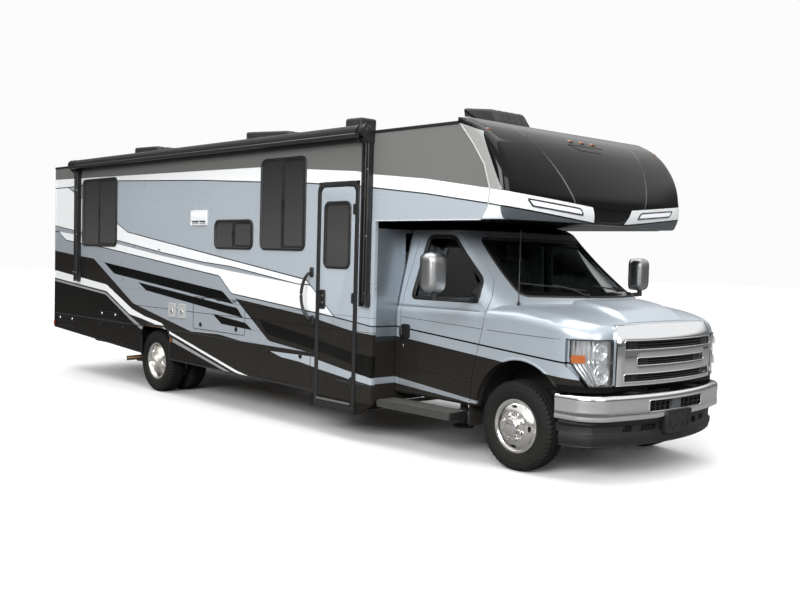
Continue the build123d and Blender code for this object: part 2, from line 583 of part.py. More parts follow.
# lamps: five clearance lamps on the cap, side markers, tail lamps
lamps = []
for y in (-1190, -160, 0, 160, 1190):
    x = -200 if abs(y) > 500 else -172
    lamps.append(slab(x - 60, x + 28, y - 38, y + 38, 2748, 2788))
for side in (-1, 1):
    y0, y1 = sorted((side * coach_half, side * (coach_half + 16)))
    lamps.append(slab(-5085, -5035, y0, y1, 635, 690))
    lamps.append(slab(coach_rear + 2, coach_rear + 50, y0, y1, 600, 680))
    t0, t1 = sorted((side * 1090, side * 1190))
    lamps.append(slab(coach_rear - 22, coach_rear, t0, t1, 880, 1240))
    lamps.append(slab(coach_rear - 16, coach_rear, t0, t1, 2700, 2735))
for y in (-120, 0, 120):
    lamps.append(slab(coach_rear - 16, coach_rear, y - 40, y + 40, 2730, 2765))
pieces["lamps"] = joined(lamps) - cap_volume(0)

# rear bumper with hitch receiver, running boards, mud flaps
pin_radius = 8
hitch_half, hitch_low, hitch_high = 32, 520, 584
bumper_rear = slab(-8470, -8411, -1240, 1240, 600, 690)
bumper_rear += slab(-8485, -8150, -hitch_half, hitch_half, hitch_low, hitch_high)
bumper_rear -= slab(-8500, -8160, -25.4, 25.4, hitch_low + 6.6, hitch_high - 6.6)
bumper_rear += slab(-8440, -8411, -60, 60, hitch_high, 605)
bumper_rear -= Pos(-8420, 0, (hitch_low + hitch_high) / 2) * Rot(90, 0, 0) * Cylinder(pin_radius, 200)
pieces["rear_bumper"] = bumper_rear - pieces["wall_rear"] - pieces["frame_rails"]

board = rounded_side(-1420, -500, 365, 430, 20, -1235, -1010)
board += slab(-1300, -1270, -1015, -440, 395, 425) + slab(-650, -620, -1015, -440, 395, 425)
board += slab(-1300, -1270, -rail_out, -rail_in, 395, rail_low)
board += slab(-650, -620, -rail_out, -rail_in, 395, rail_low)
board -= pieces["front_axle"]
pieces["running_boards"] = board + other_side(board)

flap = slab(-506, -496, -985, -620, 300, 640)
pieces["mud_flaps"] = (flap + other_side(flap)) - outer_cab

os.makedirs("parts", exist_ok=True)
for name, shape in pieces.items():
    solids = [solid.moved(Location((-origin_x, 0, 0))) for solid in shape.solids()]
    export_step(solids[0] if len(solids) == 1 else Compound(children=solids), f"parts/{name}.step")
print(len(pieces), "pieces")
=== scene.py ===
import math
import bmesh
import bpy
from mathutils import Matrix, Vector
from mathutils.bvhtree import BVHTree


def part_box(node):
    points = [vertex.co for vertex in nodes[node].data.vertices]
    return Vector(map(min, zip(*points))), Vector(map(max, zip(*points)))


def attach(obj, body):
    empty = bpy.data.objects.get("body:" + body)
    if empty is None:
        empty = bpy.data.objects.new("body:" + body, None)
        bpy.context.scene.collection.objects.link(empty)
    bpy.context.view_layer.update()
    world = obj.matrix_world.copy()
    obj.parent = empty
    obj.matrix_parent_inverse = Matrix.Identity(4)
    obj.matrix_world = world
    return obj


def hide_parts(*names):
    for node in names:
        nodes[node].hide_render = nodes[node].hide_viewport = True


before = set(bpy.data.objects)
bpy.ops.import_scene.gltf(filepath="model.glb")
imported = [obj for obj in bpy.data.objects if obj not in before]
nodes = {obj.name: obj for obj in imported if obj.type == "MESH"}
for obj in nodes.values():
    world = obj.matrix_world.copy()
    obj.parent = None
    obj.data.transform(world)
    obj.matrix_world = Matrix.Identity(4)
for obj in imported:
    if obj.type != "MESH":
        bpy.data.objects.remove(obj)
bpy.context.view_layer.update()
lowTyre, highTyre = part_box("tyre_front_right")
frontX = (lowTyre.x + highTyre.x) / 2          # front axle; every x below is measured from it, in metres
print("frame loaded,", len(nodes), "nodes, front axle at", round(frontX, 3))


# shapes are (points, faces, material numbers), and pieces are made from them
def grid(rows, closeRows=False, closeRow=True, mat=0):
    width = len(rows[0])
    points = [Vector(p) for row in rows for p in row]
    faces = []
    for i in range(len(rows) - (0 if closeRows else 1)):
        for j in range(width - (0 if closeRow else 1)):
            a, b = i * width, ((i + 1) % len(rows)) * width
            k = (j + 1) % width
            faces.append((a + j, a + k, b + k, b + j))
    return points, faces, [mat] * len(faces)


def capped(shape, width, mat=0):
    points, faces, mats = shape
    last = len(points) - width
    ends = [tuple(range(width))[::-1], tuple(range(last, len(points)))]
    return points, faces + ends, mats + [mat, mat]


def joined(*shapes):
    points, faces, mats = [], [], []
    for p, f, m in shapes:
        base = len(points)
        points += p
        faces += [tuple(i + base for i in face) for face in f]
        mats += m
    return points, faces, mats


def moved(shape, matrix):
    return [matrix @ p for p in shape[0]], shape[1], shape[2]


def painted(shape, mat):
    return shape[0], shape[1], [mat] * len(shape[1])


def prism(outline, axis, low, high, mat=0):      # outline is in the two other axes, in x, y, z order
    place = {"x": lambda a, b, c: (c, a, b), "y": lambda a, b, c: (a, c, b), "z": lambda a, b,
             c: (a, b, c)}[axis]
    rows = [[place(a, b, c) for a, b in outline] for c in (low, high)]
    return capped(grid(rows, mat=mat), len(outline), mat)


def box(x0, x1, y0, y1, z0, z1, mat=0):
    return prism([(x0, y0), (x1, y0), (x1, y1), (x0, y1)], "z", z0, z1, mat)


def roundedRect(a0, a1, b0, b1, radius, steps=6):
    centres = [(a1 - radius, b1 - radius), (a0 + radius, b1 - radius), (a0 + radius, b0 + radius),
               (a1 - radius, b0 + radius)]
    return [(a + radius * math.cos(math.radians(90 * (q + s / steps))),
             b + radius * math.sin(math.radians(90 * (q + s / steps))))
            for q, (a, b) in enumerate(centres) for s in range(steps + 1)]


def lathe(profile, steps=64, centre=(0, 0, 0), mat=0, close=True):   # profile is (across y, radius)
    cx, cy, cz = centre
    rows = []
    for s in range(steps):
        turn = 2 * math.pi * s / steps
        rows.append([(cx + r * math.cos(turn), cy + a, cz + r * math.sin(turn)) for a, r in profile])
    return grid(rows, closeRows=True, closeRow=close, mat=mat)


def tube(points, radius, sides=12, mat=0, closed=False):
    points = [Vector(p) for p in points]
    count = len(points)
    up = Vector((0, 0, 1))
    rows = []
    for i, p in enumerate(points):
        ahead = points[(i + 1) % count] if closed or i < count - 1 else p
        behind = points[i - 1] if closed or i > 0 else p
        along = (ahead - behind).normalized()
        side = along.cross(up)
        if side.length < 0.05:
            side = along.cross(Vector((1, 0, 0)))
        side.normalize()
        top = side.cross(along)
        r = radius[i] if isinstance(radius, (list, tuple)) else radius
        rows.append([p + r * (math.cos(2 * math.pi * s / sides) * side + math.sin(2 * math.pi * s / sides)
                              * top) for s in range(sides)])
    shape = grid(rows, closeRows=closed, mat=mat)
    return shape if closed else capped(shape, sides, mat)


def smoothPath(points, steps=8, closed=False):   # a Catmull-Rom curve through the points
    pts = [Vector(p) for p in points]
    count = len(pts)
    path = []
    for i in range(count if closed else count - 1):
        p1, p2 = pts[i], pts[(i + 1) % count]
        p0 = pts[i - 1] if closed or i > 0 else p1 * 2 - p2
        p3 = pts[(i + 2) % count] if closed or i < count - 2 else p2 * 2 - p1
        for s in range(steps):
            t = s / steps
            path.append(0.5 * (2 * p1 + (p2 - p0) * t + (2 * p0 - 5 * p1 + 4 * p2 - p3) * t * t
                               + (3 * p1 - p0 - 3 * p2 + p3) * t ** 3))
    return path if closed else path + [pts[-1]]


def blendTable(table, value):                    # smooth values between the rows of a table
    if value <= table[0][0]:
        return list(table[0][1:])
    for i in range(len(table) - 1):
        a, b = table[i], table[i + 1]
        if value <= b[0]:
            before, after = table[max(i - 1, 0)], table[min(i + 2, len(table) - 1)]
            span = b[0] - a[0]
            t = (value - a[0]) / span
            row = []
            for c in range(1, len(a)):
                slopeA = (b[c] - before[c]) / (b[0] - before[0]) * span
                slopeB = (after[c] - a[c]) / (after[0] - a[0]) * span
                row.append((2 * t ** 3 - 3 * t * t + 1) * a[c] + (t ** 3 - 2 * t * t + t) * slopeA
                           + (3 * t * t - 2 * t ** 3) * b[c] + (t ** 3 - t * t) * slopeB)
            return row
    return list(table[-1][1:])


def arcThrough(start, middle, end, steps):
    (x1, y1), (x2, y2), (x3, y3) = start, middle, end
    d = 2 * (x1 * (y2 - y3) + x2 * (y3 - y1) + x3 * (y1 - y2))
    s1, s2, s3 = x1 * x1 + y1 * y1, x2 * x2 + y2 * y2, x3 * x3 + y3 * y3
    cx = (s1 * (y2 - y3) + s2 * (y3 - y1) + s3 * (y1 - y2)) / d
    cy = (s1 * (x3 - x2) + s2 * (x1 - x3) + s3 * (x2 - x1)) / d
    first, last = math.atan2(y1 - cy, x1 - cx), math.atan2(y3 - cy, x3 - cx)
    radius = math.hypot(x1 - cx, y1 - cy)
    while last - first > math.pi:
        last -= 2 * math.pi
    while last - first < -math.pi:
        last += 2 * math.pi
    return [(cx + radius * math.cos(first + (last - first) * s / steps),
             cy + radius * math.sin(first + (last - first) * s / steps)) for s in range(steps + 1)]


def newObject(name, shape, materials):
    mesh = bpy.data.meshes.new(name)
    points, faces, mats = shape
    mesh.from_pydata([(p[0] + frontX, p[1], p[2]) for p in points], [], faces)
    for material in materials:
        mesh.materials.append(material)
    mesh.polygons.foreach_set("material_index", mats)
    obj = bpy.data.objects.new(name, mesh)
    bpy.context.scene.collection.objects.link(obj)
    tool = bmesh.new()
    tool.from_mesh(mesh)
    bmesh.ops.recalc_face_normals(tool, faces=tool.faces)
    tool.to_mesh(mesh)
    tool.free()
    return obj


def applyModifiers(obj):
    bpy.context.view_layer.update()
    made = bpy.data.meshes.new_from_object(obj.evaluated_get(bpy.context.evaluated_depsgraph_get()))
    old = obj.data
    obj.modifiers.clear()
    obj.data = made
    made.name = old.name
    bpy.data.meshes.remove(old)


def cut(obj, shape, operation="DIFFERENCE"):
    cutter = newObject("cutter", shape, [])
    step = obj.modifiers.new("cut", "BOOLEAN")
    step.operation = operation
    step.solver = "EXACT"
    step.object = cutter
    applyModifiers(obj)
    bpy.data.meshes.remove(cutter.data)


def round2(obj, width, segments=2, angle=40):
    step = obj.modifiers.new("edges", "BEVEL")
    step.width = width
    step.segments = segments
    step.limit_method = "ANGLE"
    step.angle_limit = math.radians(angle)
    step.harden_normals = False
    applyModifiers(obj)


def finishPiece(obj, body, replaced=(), angle=34):
    obj.data.shade_smooth()
    obj.data.set_sharp_from_angle(angle=math.radians(angle))
    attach(obj, body)
    if replaced:
        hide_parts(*replaced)
    return obj


def piece(name, shape, materials, body="chassis", replaced=(), edge=0, segments=2,
          angle=34):
    materials = materials if isinstance(materials, (list, tuple)) else [materials]
    obj = newObject(name, shape, materials)
    if edge:
        round2(obj, edge, segments)
    return finishPiece(obj, body, replaced, angle)


# camera, lights and floor
cameraSettings = {"place": (5.0861, -6.9599, 1.7526), "yaw": 47.4089, "pitch": 2.7584, "roll": 1.5042,
                  "lens": 43.28, "sensor": 36.0}


def addCamera(s):
    yaw, pitch, roll = (math.radians(s[key]) for key in ("yaw", "pitch", "roll"))
    forward = Vector((-math.sin(yaw) * math.cos(pitch), math.cos(yaw) * math.cos(pitch), -math.sin(pitch)))
    right = Vector((math.cos(yaw), math.sin(yaw), 0))
    up = right.cross(forward)
    turnedRight = math.cos(roll) * right + math.sin(roll) * up
    turnedUp = math.cos(roll) * up - math.sin(roll) * right
    camera = bpy.data.cameras.new("camera")
    camera.lens = s["lens"]
    camera.sensor_width = s["sensor"]
    camera.clip_end = 200
    obj = bpy.data.objects.new("camera", camera)
    obj.matrix_world = Matrix.Translation(Vector(s["place"]) + Vector((frontX, 0, 0))) @ Matrix(
        (turnedRight, turnedUp, -forward)).transposed().to_4x4()
    bpy.context.scene.collection.objects.link(obj)
    bpy.context.scene.camera = obj


# name, place, target, width, height, watts
studioLights = [
    ("lightTop", (-4.0, -1.0, 8.5), (-4.5, 0.0, 1.0), 13.0, 8.0, 760),
    ("lightSide", (4.2, -11.5, 6.3), (-1.4, -1.0, 1.4), 9.0, 4.0, 1550),
    ("lightFront", (11.0, -3.0, 5.0), (0.0, 0.0, 1.4), 6.0, 4.0, 380),
    ("lightBack", (-12.5, 6.0, 5.5), (-5.0, 0.0, 1.5), 8.0, 5.0, 500),
]


def addLights(table):
    for name, place, target, width, height, watts in table:
        light = bpy.data.lights.new(name, "AREA")
        light.shape = "RECTANGLE"
        light.size, light.size_y = width, height
        light.energy = watts
        obj = bpy.data.objects.new(name, light)
        place, target = Vector(place), Vector(target)
        obj.location = place + Vector((frontX, 0, 0))
        obj.rotation_euler = (target - place).to_track_quat("-Z", "Y").to_euler()
        bpy.context.scene.collection.objects.link(obj)


# shader helpers
def put(tree, kind, values=None, **settings):
    node = tree.nodes.new(kind)
    for key, value in settings.items():
        setattr(node, key, value)
    for key, value in (values or {}).items():
        if isinstance(value, bpy.types.NodeSocket):
            tree.links.new(value, node.inputs[key])
        else:
            node.inputs[key].default_value = value
    return node


def calc(tree, operation, first, second=0.0, third=0.0):
    return put(tree, "ShaderNodeMath", {0: first, 1: second, 2: third}, operation=operation).outputs[0]


def mixColour(tree, factor, first, second):
    node = put(tree, "ShaderNodeMix", data_type="RGBA")
    for key, value in ((0, factor), (6, first), (7, second)):
        if isinstance(value, bpy.types.NodeSocket):
            tree.links.new(value, node.inputs[key])
        else:
            node.inputs[key].default_value = value
    return node.outputs[2]


def colour(red, green, blue):                    # screen values 0 to 255
    return tuple((c / 255 / 12.92 if c <= 10 else ((c / 255 + 0.055) / 1.055) ** 2.4)
                 for c in (red, green, blue)) + (1.0,)


def newGroup(name, inputs, outputs):
    tree = bpy.data.node_groups.new(name, "ShaderNodeTree")
    for label, kind, value in inputs:
        socket = tree.interface.new_socket(name=label, in_out="INPUT", socket_type=kind)
        socket.default_value = value
    for label, kind in outputs:
        tree.interface.new_socket(name=label, in_out="OUTPUT", socket_type=kind)
    return tree, tree.nodes.new("NodeGroupInput").outputs, tree.nodes.new("NodeGroupOutput").inputs


floatKind, colourKind, vectorKind = "NodeSocketFloat", "NodeSocketColor", "NodeSocketVector"


def placeOnObject(tree):                         # the surface point, measured from the front axle
    point = put(tree, "ShaderNodeTexCoord").outputs["Object"]
    return put(tree, "ShaderNodeVectorMath", {0: point, 1: (-frontX, 0, 0)}, operation="ADD").outputs[0]


def makeFineGrain():
    tree, inputs, outputs = newGroup("fineGrain", [("Scale", floatKind, 300.0), ("Contrast", floatKind, 1.0)],
                                     [("Height", floatKind), ("Shade", floatKind)])
    point = placeOnObject(tree)
    fine = put(tree, "ShaderNodeTexNoise", {"Vector": point, "Scale": inputs["Scale"], "Detail": 3.0})
    wide = put(tree, "ShaderNodeTexNoise", {"Vector": point, "Scale": 3.5, "Detail": 4.0, "Roughness": 0.6})
    spread = calc(tree, "MULTIPLY", calc(tree, "SUBTRACT", wide.outputs[0], 0.5), inputs["Contrast"])
    tree.links.new(fine.outputs[0], outputs["Height"])
    tree.links.new(calc(tree, "ADD", spread, 0.5), outputs["Shade"])
    return tree


def makeMouldGrain():
    tree, inputs, outputs = newGroup("mouldGrain", [("Scale", floatKind, 260.0)],
                                     [("Height", floatKind), ("Shade", floatKind)])
    point = placeOnObject(tree)
    cells = put(tree, "ShaderNodeTexVoronoi", {"Vector": point, "Scale": inputs["Scale"]},
                feature="SMOOTH_F1")
    noise = put(tree, "ShaderNodeTexNoise", {"Vector": point, "Scale": 9.0, "Detail": 5.0})
    tree.links.new(cells.outputs["Distance"], outputs["Height"])
    tree.links.new(noise.outputs[0], outputs["Shade"])
    return tree


def makeBrushed():
    tree, inputs, outputs = newGroup("brushedLines", [("Scale", floatKind, 60.0),
                                                      ("Stretch", vectorKind, (0.03, 1.0, 1.0))],
                                     [("Height", floatKind), ("Shade", floatKind)])
    point = put(tree, "ShaderNodeVectorMath", {0: placeOnObject(tree), 1: inputs["Stretch"]},
                operation="MULTIPLY")
    lines = put(tree, "ShaderNodeTexNoise", {"Vector": point.outputs[0], "Scale": inputs["Scale"],
                                             "Detail": 6.0})
    tree.links.new(lines.outputs[0], outputs["Height"])
    tree.links.new(lines.outputs[0], outputs["Shade"])
    return tree


def makeRoadDust():
    tree, inputs, outputs = newGroup("roadDust", [("Top", floatKind, 0.7), ("Amount", floatKind, 0.5)],
                                     [("Mask", floatKind)])
    point = placeOnObject(tree)
    height = put(tree, "ShaderNodeSeparateXYZ", {0: point}).outputs["Z"]
    low = put(tree, "ShaderNodeMapRange", {"Value": height, "From Min": 0.0, "From Max": inputs["Top"],
                                           "To Min": 1.0, "To Max": 0.0})
    spots = put(tree, "ShaderNodeTexNoise", {"Vector": point, "Scale": 14.0, "Detail": 7.0,
                                             "Roughness": 0.65})
    strength = calc(tree, "MULTIPLY", calc(tree, "MULTIPLY", low.outputs[0], spots.outputs[0]),
                    inputs["Amount"])
    tree.links.new(strength, outputs["Mask"])
    return tree


def makeEdgeWear():
    tree, inputs, outputs = newGroup("edgeWear", [("Amount", floatKind, 0.6)], [("Mask", floatKind)])
    edge = put(tree, "ShaderNodeNewGeometry").outputs["Pointiness"]
    noise = put(tree, "ShaderNodeTexNoise", {"Vector": placeOnObject(tree), "Scale": 35.0, "Detail": 6.0})
    sharp = put(tree, "ShaderNodeMapRange", {"Value": edge, "From Min": 0.52, "From Max": 0.62})
    worn = calc(tree, "MULTIPLY", calc(tree, "MULTIPLY", sharp.outputs[0], noise.outputs[0]),
                inputs["Amount"])
    tree.links.new(worn, outputs["Mask"])
    return tree


def makePaintDepth():
    tree, inputs, outputs = newGroup("paintDepth", [("Peel", floatKind, 90.0), ("Flake", floatKind, 0.02)],
                                     [("Height", floatKind), ("Sparkle", floatKind)])
    point = placeOnObject(tree)
    peel = put(tree, "ShaderNodeTexNoise", {"Vector": point, "Scale": inputs["Peel"], "Detail": 2.0})
    flake = put(tree, "ShaderNodeTexVoronoi", {"Vector": point, "Scale": 900.0})
    glint = put(tree, "ShaderNodeSeparateColor", {0: flake.outputs["Color"]}).outputs[0]
    spread = calc(tree, "MULTIPLY", calc(tree, "SUBTRACT", glint, 0.5), inputs["Flake"])
    tree.links.new(peel.outputs[0], outputs["Height"])
    tree.links.new(calc(tree, "ADD", 1.0, spread), outputs["Sparkle"])
    return tree


groups = {"fineGrain": makeFineGrain(), "mouldGrain": makeMouldGrain(), "brushedLines": makeBrushed(),
          "roadDust": makeRoadDust(), "edgeWear": makeEdgeWear(), "paintDepth": makePaintDepth()}

# paint lines on the coach side, as (x, z); dark pins follow some of them
chartX, chartZ = (-8.5, 1.0), 3.0                # what the curve nodes span, in x and in z
paintColours = {"white": colour(238, 240, 241), "silver": colour(186, 195, 203), "silverLow": colour(170, 177,
                                                                                                     184),
                "band": colour(110, 110, 108), "charcoal": colour(35, 33, 31),
                "black": colour(8, 9, 10), "skirt": colour(13, 12, 11), "pin": colour(52, 58, 62),
                "ash": colour(150, 152, 152), "shadow": colour(44, 52, 56)}
coachLines = {
    "bandLow": [(-8.41, 2.674), (-3.275, 2.606), (-1.703, 2.495), (-1.534, 2.462), (-0.807, 2.392),
                (-0.103, 2.292)],
    "whiteLow": [(-7.979, 2.552), (-6.442, 2.587), (-4.451, 2.517), (-3.269, 2.455), (-2.445, 2.413),
                 (-1.525, 2.342), (-0.802, 2.266), (-0.089, 2.17)],
    "silverLow": [(-7.979, 2.552), (-7.769, 2.473), (-6.457, 2.035), (-6.192, 1.934), (-4.05, 1.669),
                  (-2.445, 1.474), (-2.387, 1.428), (-1.981, 1.137), (-1.95, 0.3)],
    "taperTop": [(-8.41, 2.022), (-7.757, 1.953), (-6.439, 1.825), (-5.319, 1.693), (-4.373, 1.6),
                 (-3.814, 1.567), (-2.584, 1.426), (-2.387, 1.428), (-1.981, 1.137), (-1.464, 1.088)],
    "taperLow": [(-8.41, 1.7), (-8.287, 1.942), (-7.756, 1.899), (-6.438, 1.78), (-5.318, 1.655),
                 (-4.371, 1.566), (-3.812, 1.519), (-2.584, 1.426), (-2.387, 1.428), (-1.981, 1.137),
                 (-1.464, 1.088)],
    "swooshLow": [(-8.41, 1.942), (-8.287, 1.942), (-8.042, 1.82), (-7.753, 1.793), (-7.0, 1.743),
                  (-4.029, 1.455), (-3.781, 1.275), (-2.434, 1.172), (-1.965, 1.138), (-1.464, 1.088)],
    "darkTop": [(-8.41, 1.669), (-7.749, 1.617), (-7.15, 1.581), (-6.027, 1.045), (-4.609, 0.8),
                (-4.024, 0.815),
                (-3.541, 0.775), (-2.33, 0.77), (-2.27, 0.718), (-1.725, 0.648), (-1.624, 0.633),
                (-1.45, 0.62)],
    "panelTop": [(-3.706, 1.228), (-2.423, 1.128), (-1.692, 1.025), (-1.45, 1.015)],
    "panelLow": [(-3.706, 1.228), (-3.066, 0.822), (-2.312, 0.762), (-2.2, 0.6)],
    "wedgeTop": [(-3.248, 1.032), (-2.318, 0.918), (-1.732, 0.836), (-1.45, 0.818)],
    "wedgeLow": [(-3.248, 1.032), (-3.1, 0.89), (-2.295, 0.801), (-1.728, 0.726), (-1.66, 0.64),
                 (-1.45, 0.62)],
    "doorStripeTop": [(-3.05, 0.722), (-2.304, 0.735), (-2.27, 0.718), (-1.725, 0.648), (-1.45, 0.62)],
    "doorStripeLow": [(-3.05, 0.722), (-2.837, 0.677), (-2.551, 0.663), (-2.27, 0.63), (-1.725, 0.576),
                      (-1.45, 0.556)],
    "sweepTop": [(-8.41, 1.391), (-6.764, 1.25), (-6.05, 0.975), (-5.72, 0.905), (-5.3, 0.85), (-5.1, 0.765),
                 (-3.633, 0.45), (-3.293, 0.402)],
    "sweepLow": [(-8.41, 1.281), (-6.762, 1.163), (-6.11, 0.902), (-5.815, 0.872), (-5.3, 0.8), (-5.1, 0.735),
                 (-3.68, 0.43), (-3.293, 0.402)],
    "ashTop": [(-8.41, 1.266), (-6.78, 1.146), (-6.1, 0.88), (-5.8, 0.78), (-5.08, 0.7), (-3.78, 0.425),
               (-3.5, 0.38)],
    "ashLow": [(-8.41, 1.236), (-6.79, 1.118), (-6.13, 0.848), (-5.83, 0.74), (-5.08, 0.655), (-3.78, 0.4),
               (-3.5, 0.38)],
    "barOneTop": [(-6.854, 1.542), (-3.958, 1.294), (-3.734, 1.161)],
    "barOneLow": [(-6.854, 1.542), (-6.552, 1.399), (-3.734, 1.161)],
    "barTwoTop": [(-5.9, 1.316), (-3.666, 1.128), (-3.543, 1.025)],
    "barTwoLow": [(-5.9, 1.316), (-5.692, 1.222), (-3.543, 1.025)],
    "barThreeTop": [(-4.162, 1.034), (-3.497, 0.979), (-3.365, 0.909)],
    "barThreeLow": [(-4.162, 1.034), (-3.97, 0.933), (-3.365, 0.909)],
}
# colour, upper line, lower line, painted in this order over white
coachLayers = [("silver", "whiteLow", "silverLow"), ("silverLow", "taperTop", None),
               ("white", "taperLow", "swooshLow"),
               ("charcoal", "darkTop", None), ("charcoal", "panelTop", "panelLow"),
               ("black", "wedgeTop", "wedgeLow"),
               ("skirt", "ashLow", None), ("silver", "doorStripeTop", "doorStripeLow"),
               ("white", "sweepTop", "sweepLow"),
               ("ash", "ashTop", "ashLow"), ("black", "barOneTop", "barOneLow"),
               ("black", "barTwoTop", "barTwoLow"),
               ("black", "barThreeTop", "barThreeLow"), ("band", None, "bandLow")]
coachPins = [("whiteLow", 0.013), ("silverLow", 0.013), ("taperTop", 0.011), ("swooshLow", 0.013)]


def chartLine(tree, across, points, span):       # a curve node that holds one paint line
    node = tree.nodes.new("ShaderNodeFloatCurve")
    curve = node.mapping.curves[0]
    node.mapping.extend = "HORIZONTAL"
    low, high = span
    scaled = [((x - low) / (high - low), z / chartZ) for x, z in points]
    for i, (x, z) in enumerate(scaled):
        if i < 2:
            curve.points[i].location = (x, z)
        else:
            curve.points.new(x, z)
    for point in curve.points:
        point.handle_type = "VECTOR"
    node.mapping.update()
    tree.links.new(across, node.inputs["Value"])
    return node.outputs[0]


def chartAcross(tree, value, span):
    low, high = span
    return calc(tree, "DIVIDE", calc(tree, "SUBTRACT", value, low), high - low)


def layered(tree, start, across, height, lines, layers, pins, span, pinColour="pin"):
    curves = {name: chartLine(tree, across, points, span) for name, points in lines.items()}
    result = start
    for paint, upper, lower in layers:
        masks = []
        if upper:
            masks.append(calc(tree, "LESS_THAN", calc(tree, "ADD", height, 0.0006 if lower else 0.0),
                              curves[upper]))
        if lower:
            masks.append(calc(tree, "GREATER_THAN", height, curves[lower]))
        mask = masks[0] if len(masks) == 1 else calc(tree, "MULTIPLY", masks[0], masks[1])
        result = mixColour(tree, mask, result, paintColours[paint])
    for name, width in pins:
        mask = calc(tree, "COMPARE", height, curves[name], width / 2 / chartZ)
        result = mixColour(tree, mask, result, paintColours[pinColour])
    return result


def makeCoachStripes():
    tree, inputs, outputs = newGroup("coachStripes", [("Sheen", floatKind, 1.0)],
                                     [("Color", colourKind), ("Metal", floatKind)])
    parts = put(tree, "ShaderNodeSeparateXYZ", {0: placeOnObject(tree)})
    across = chartAcross(tree, parts.outputs["X"], chartX)
    height = calc(tree, "DIVIDE", parts.outputs["Z"], chartZ)
    painted = layered(tree, paintColours["white"], across, height, coachLines, coachLayers, coachPins, chartX)
    wide = put(tree, "ShaderNodeTexNoise", {"Vector": placeOnObject(tree), "Scale": 0.8, "Detail": 2.0})
    shade = put(tree, "ShaderNodeMapRange", {"Value": wide.outputs[0], "To Min": 0.95, "To Max": 1.05})
    tone = put(tree, "ShaderNodeVectorMath", {0: painted, 1: shade.outputs[0]}, operation="MULTIPLY")
    bright = put(tree, "ShaderNodeRGBToBW", {0: painted}).outputs[0]
    middle = calc(tree, "COMPARE", bright, 0.5, 0.15)
    tree.links.new(tone.outputs[0], outputs["Color"])
    tree.links.new(calc(tree, "MULTIPLY", calc(tree, "MULTIPLY", middle, 0.3), inputs["Sheen"]),
                   outputs["Metal"])
    return tree


cabLines = {
    "darkTop": [(-1.5, 1.0), (-1.251, 0.981), (-0.232, 0.895), (0.317, 0.835), (0.6, 0.812)],
    "pinLine": [(-1.5, 1.09), (-1.453, 1.086), (-0.419, 1.007), (0.537, 0.935), (0.6, 0.93)],
    "stripeTop": [(-1.5, 0.628), (-1.42, 0.62), (-0.467, 0.533), (-0.4, 0.527)],
    "stripeLow": [(-1.5, 0.568), (-1.42, 0.56), (-0.467, 0.502), (-0.4, 0.499)],
}
cabLayers = [("charcoal", "darkTop", None), ("silverLow", "stripeTop", "stripeLow")]
cabPins = [("pinLine", 0.014)]


def makeCabStripes():
    tree, inputs, outputs = newGroup("cabStripes", [("Sheen", floatKind, 1.0)],
                                     [("Color", colourKind), ("Metal", floatKind)])
    point = placeOnObject(tree)
    parts = put(tree, "ShaderNodeSeparateXYZ", {0: point})
    across = chartAcross(tree, parts.outputs["X"], chartX)
    height = calc(tree, "DIVIDE", parts.outputs["Z"], chartZ)
    side = calc(tree, "MAXIMUM", calc(tree, "GREATER_THAN", calc(tree, "ABSOLUTE", parts.outputs["Y"]), 0.79),
                calc(tree, "LESS_THAN", parts.outputs["X"], -1.44))
    striped = layered(tree, paintColours["silver"], across, height, cabLines, cabLayers, cabPins, chartX,
                      "black")
    painted = mixColour(tree, side, paintColours["silver"], striped)
    wide = put(tree, "ShaderNodeTexNoise", {"Vector": point, "Scale": 1.2, "Detail": 2.0})
    shade = put(tree, "ShaderNodeMapRange", {"Value": wide.outputs[0], "To Min": 0.95, "To Max": 1.04})
    # painted shade: black above z 1.974 stands for the shadow under the cap, and black below z 0.768 ahead of
    # x 0.4 stands for the shade in the gap under the headlamps
    under = calc(tree, "MAXIMUM", calc(tree, "GREATER_THAN", parts.outputs["Z"], 1.974),
                 calc(tree, "MULTIPLY", calc(tree, "LESS_THAN", parts.outputs["Z"], 0.768),
                      calc(tree, "GREATER_THAN", parts.outputs["X"], 0.4)))
    shaded = calc(tree, "MULTIPLY", calc(tree, "LESS_THAN", parts.outputs["X"], -1.43),
                  calc(tree, "GREATER_THAN", parts.outputs["Z"], 0.95))
    painted = mixColour(tree, calc(tree, "MULTIPLY", shaded, 0.62), painted, paintColours["shadow"])
    painted = mixColour(tree, under, painted, paintColours["black"])
    bright = put(tree, "ShaderNodeRGBToBW", {0: painted}).outputs[0]
    metal = calc(tree, "MULTIPLY", calc(tree, "GREATER_THAN", bright, 0.2), inputs["Sheen"])
    tone = put(tree, "ShaderNodeVectorMath", {0: painted, 1: shade.outputs[0]}, operation="MULTIPLY")
    tree.links.new(tone.outputs[0], outputs["Color"])
    tree.links.new(metal, outputs["Metal"])
    return tree


# paint lines on the front of the cap, as (distance from the middle, z)
capFrontLines = {
    "wingTop": [(0.0, 1.9), (0.2, 1.9), (0.205, 2.03), (0.285, 2.185), (1.2, 2.262), (1.4, 2.29)],
    "wingLow": [(0.0, 1.9), (0.2, 1.9), (0.205, 2.05), (0.5, 2.075), (1.2, 2.14), (1.4, 2.165)],
    "lipTop": [(0.0, 2.03), (0.205, 2.045), (0.5, 2.072), (1.2, 2.137), (1.4, 2.162)],
    "ridge": [(0.0, 1.9), (0.48, 2.19), (0.5, 2.19), (0.78, 2.75), (0.8, 2.9)],
}
capFrontLayers = [("lip", "lipTop", None), ("white", "wingTop", "wingLow")]
capSideLines = {"sideTop": [(-0.807, 2.392), (-0.103, 2.292), (0.1, 2.26)],
                "sideLow": [(-0.802, 2.266), (-0.089, 2.17), (0.1, 2.14)]}
capSideLayers = [("white", "sideTop", "sideLow"), ("wrap", None, "sideTop")]
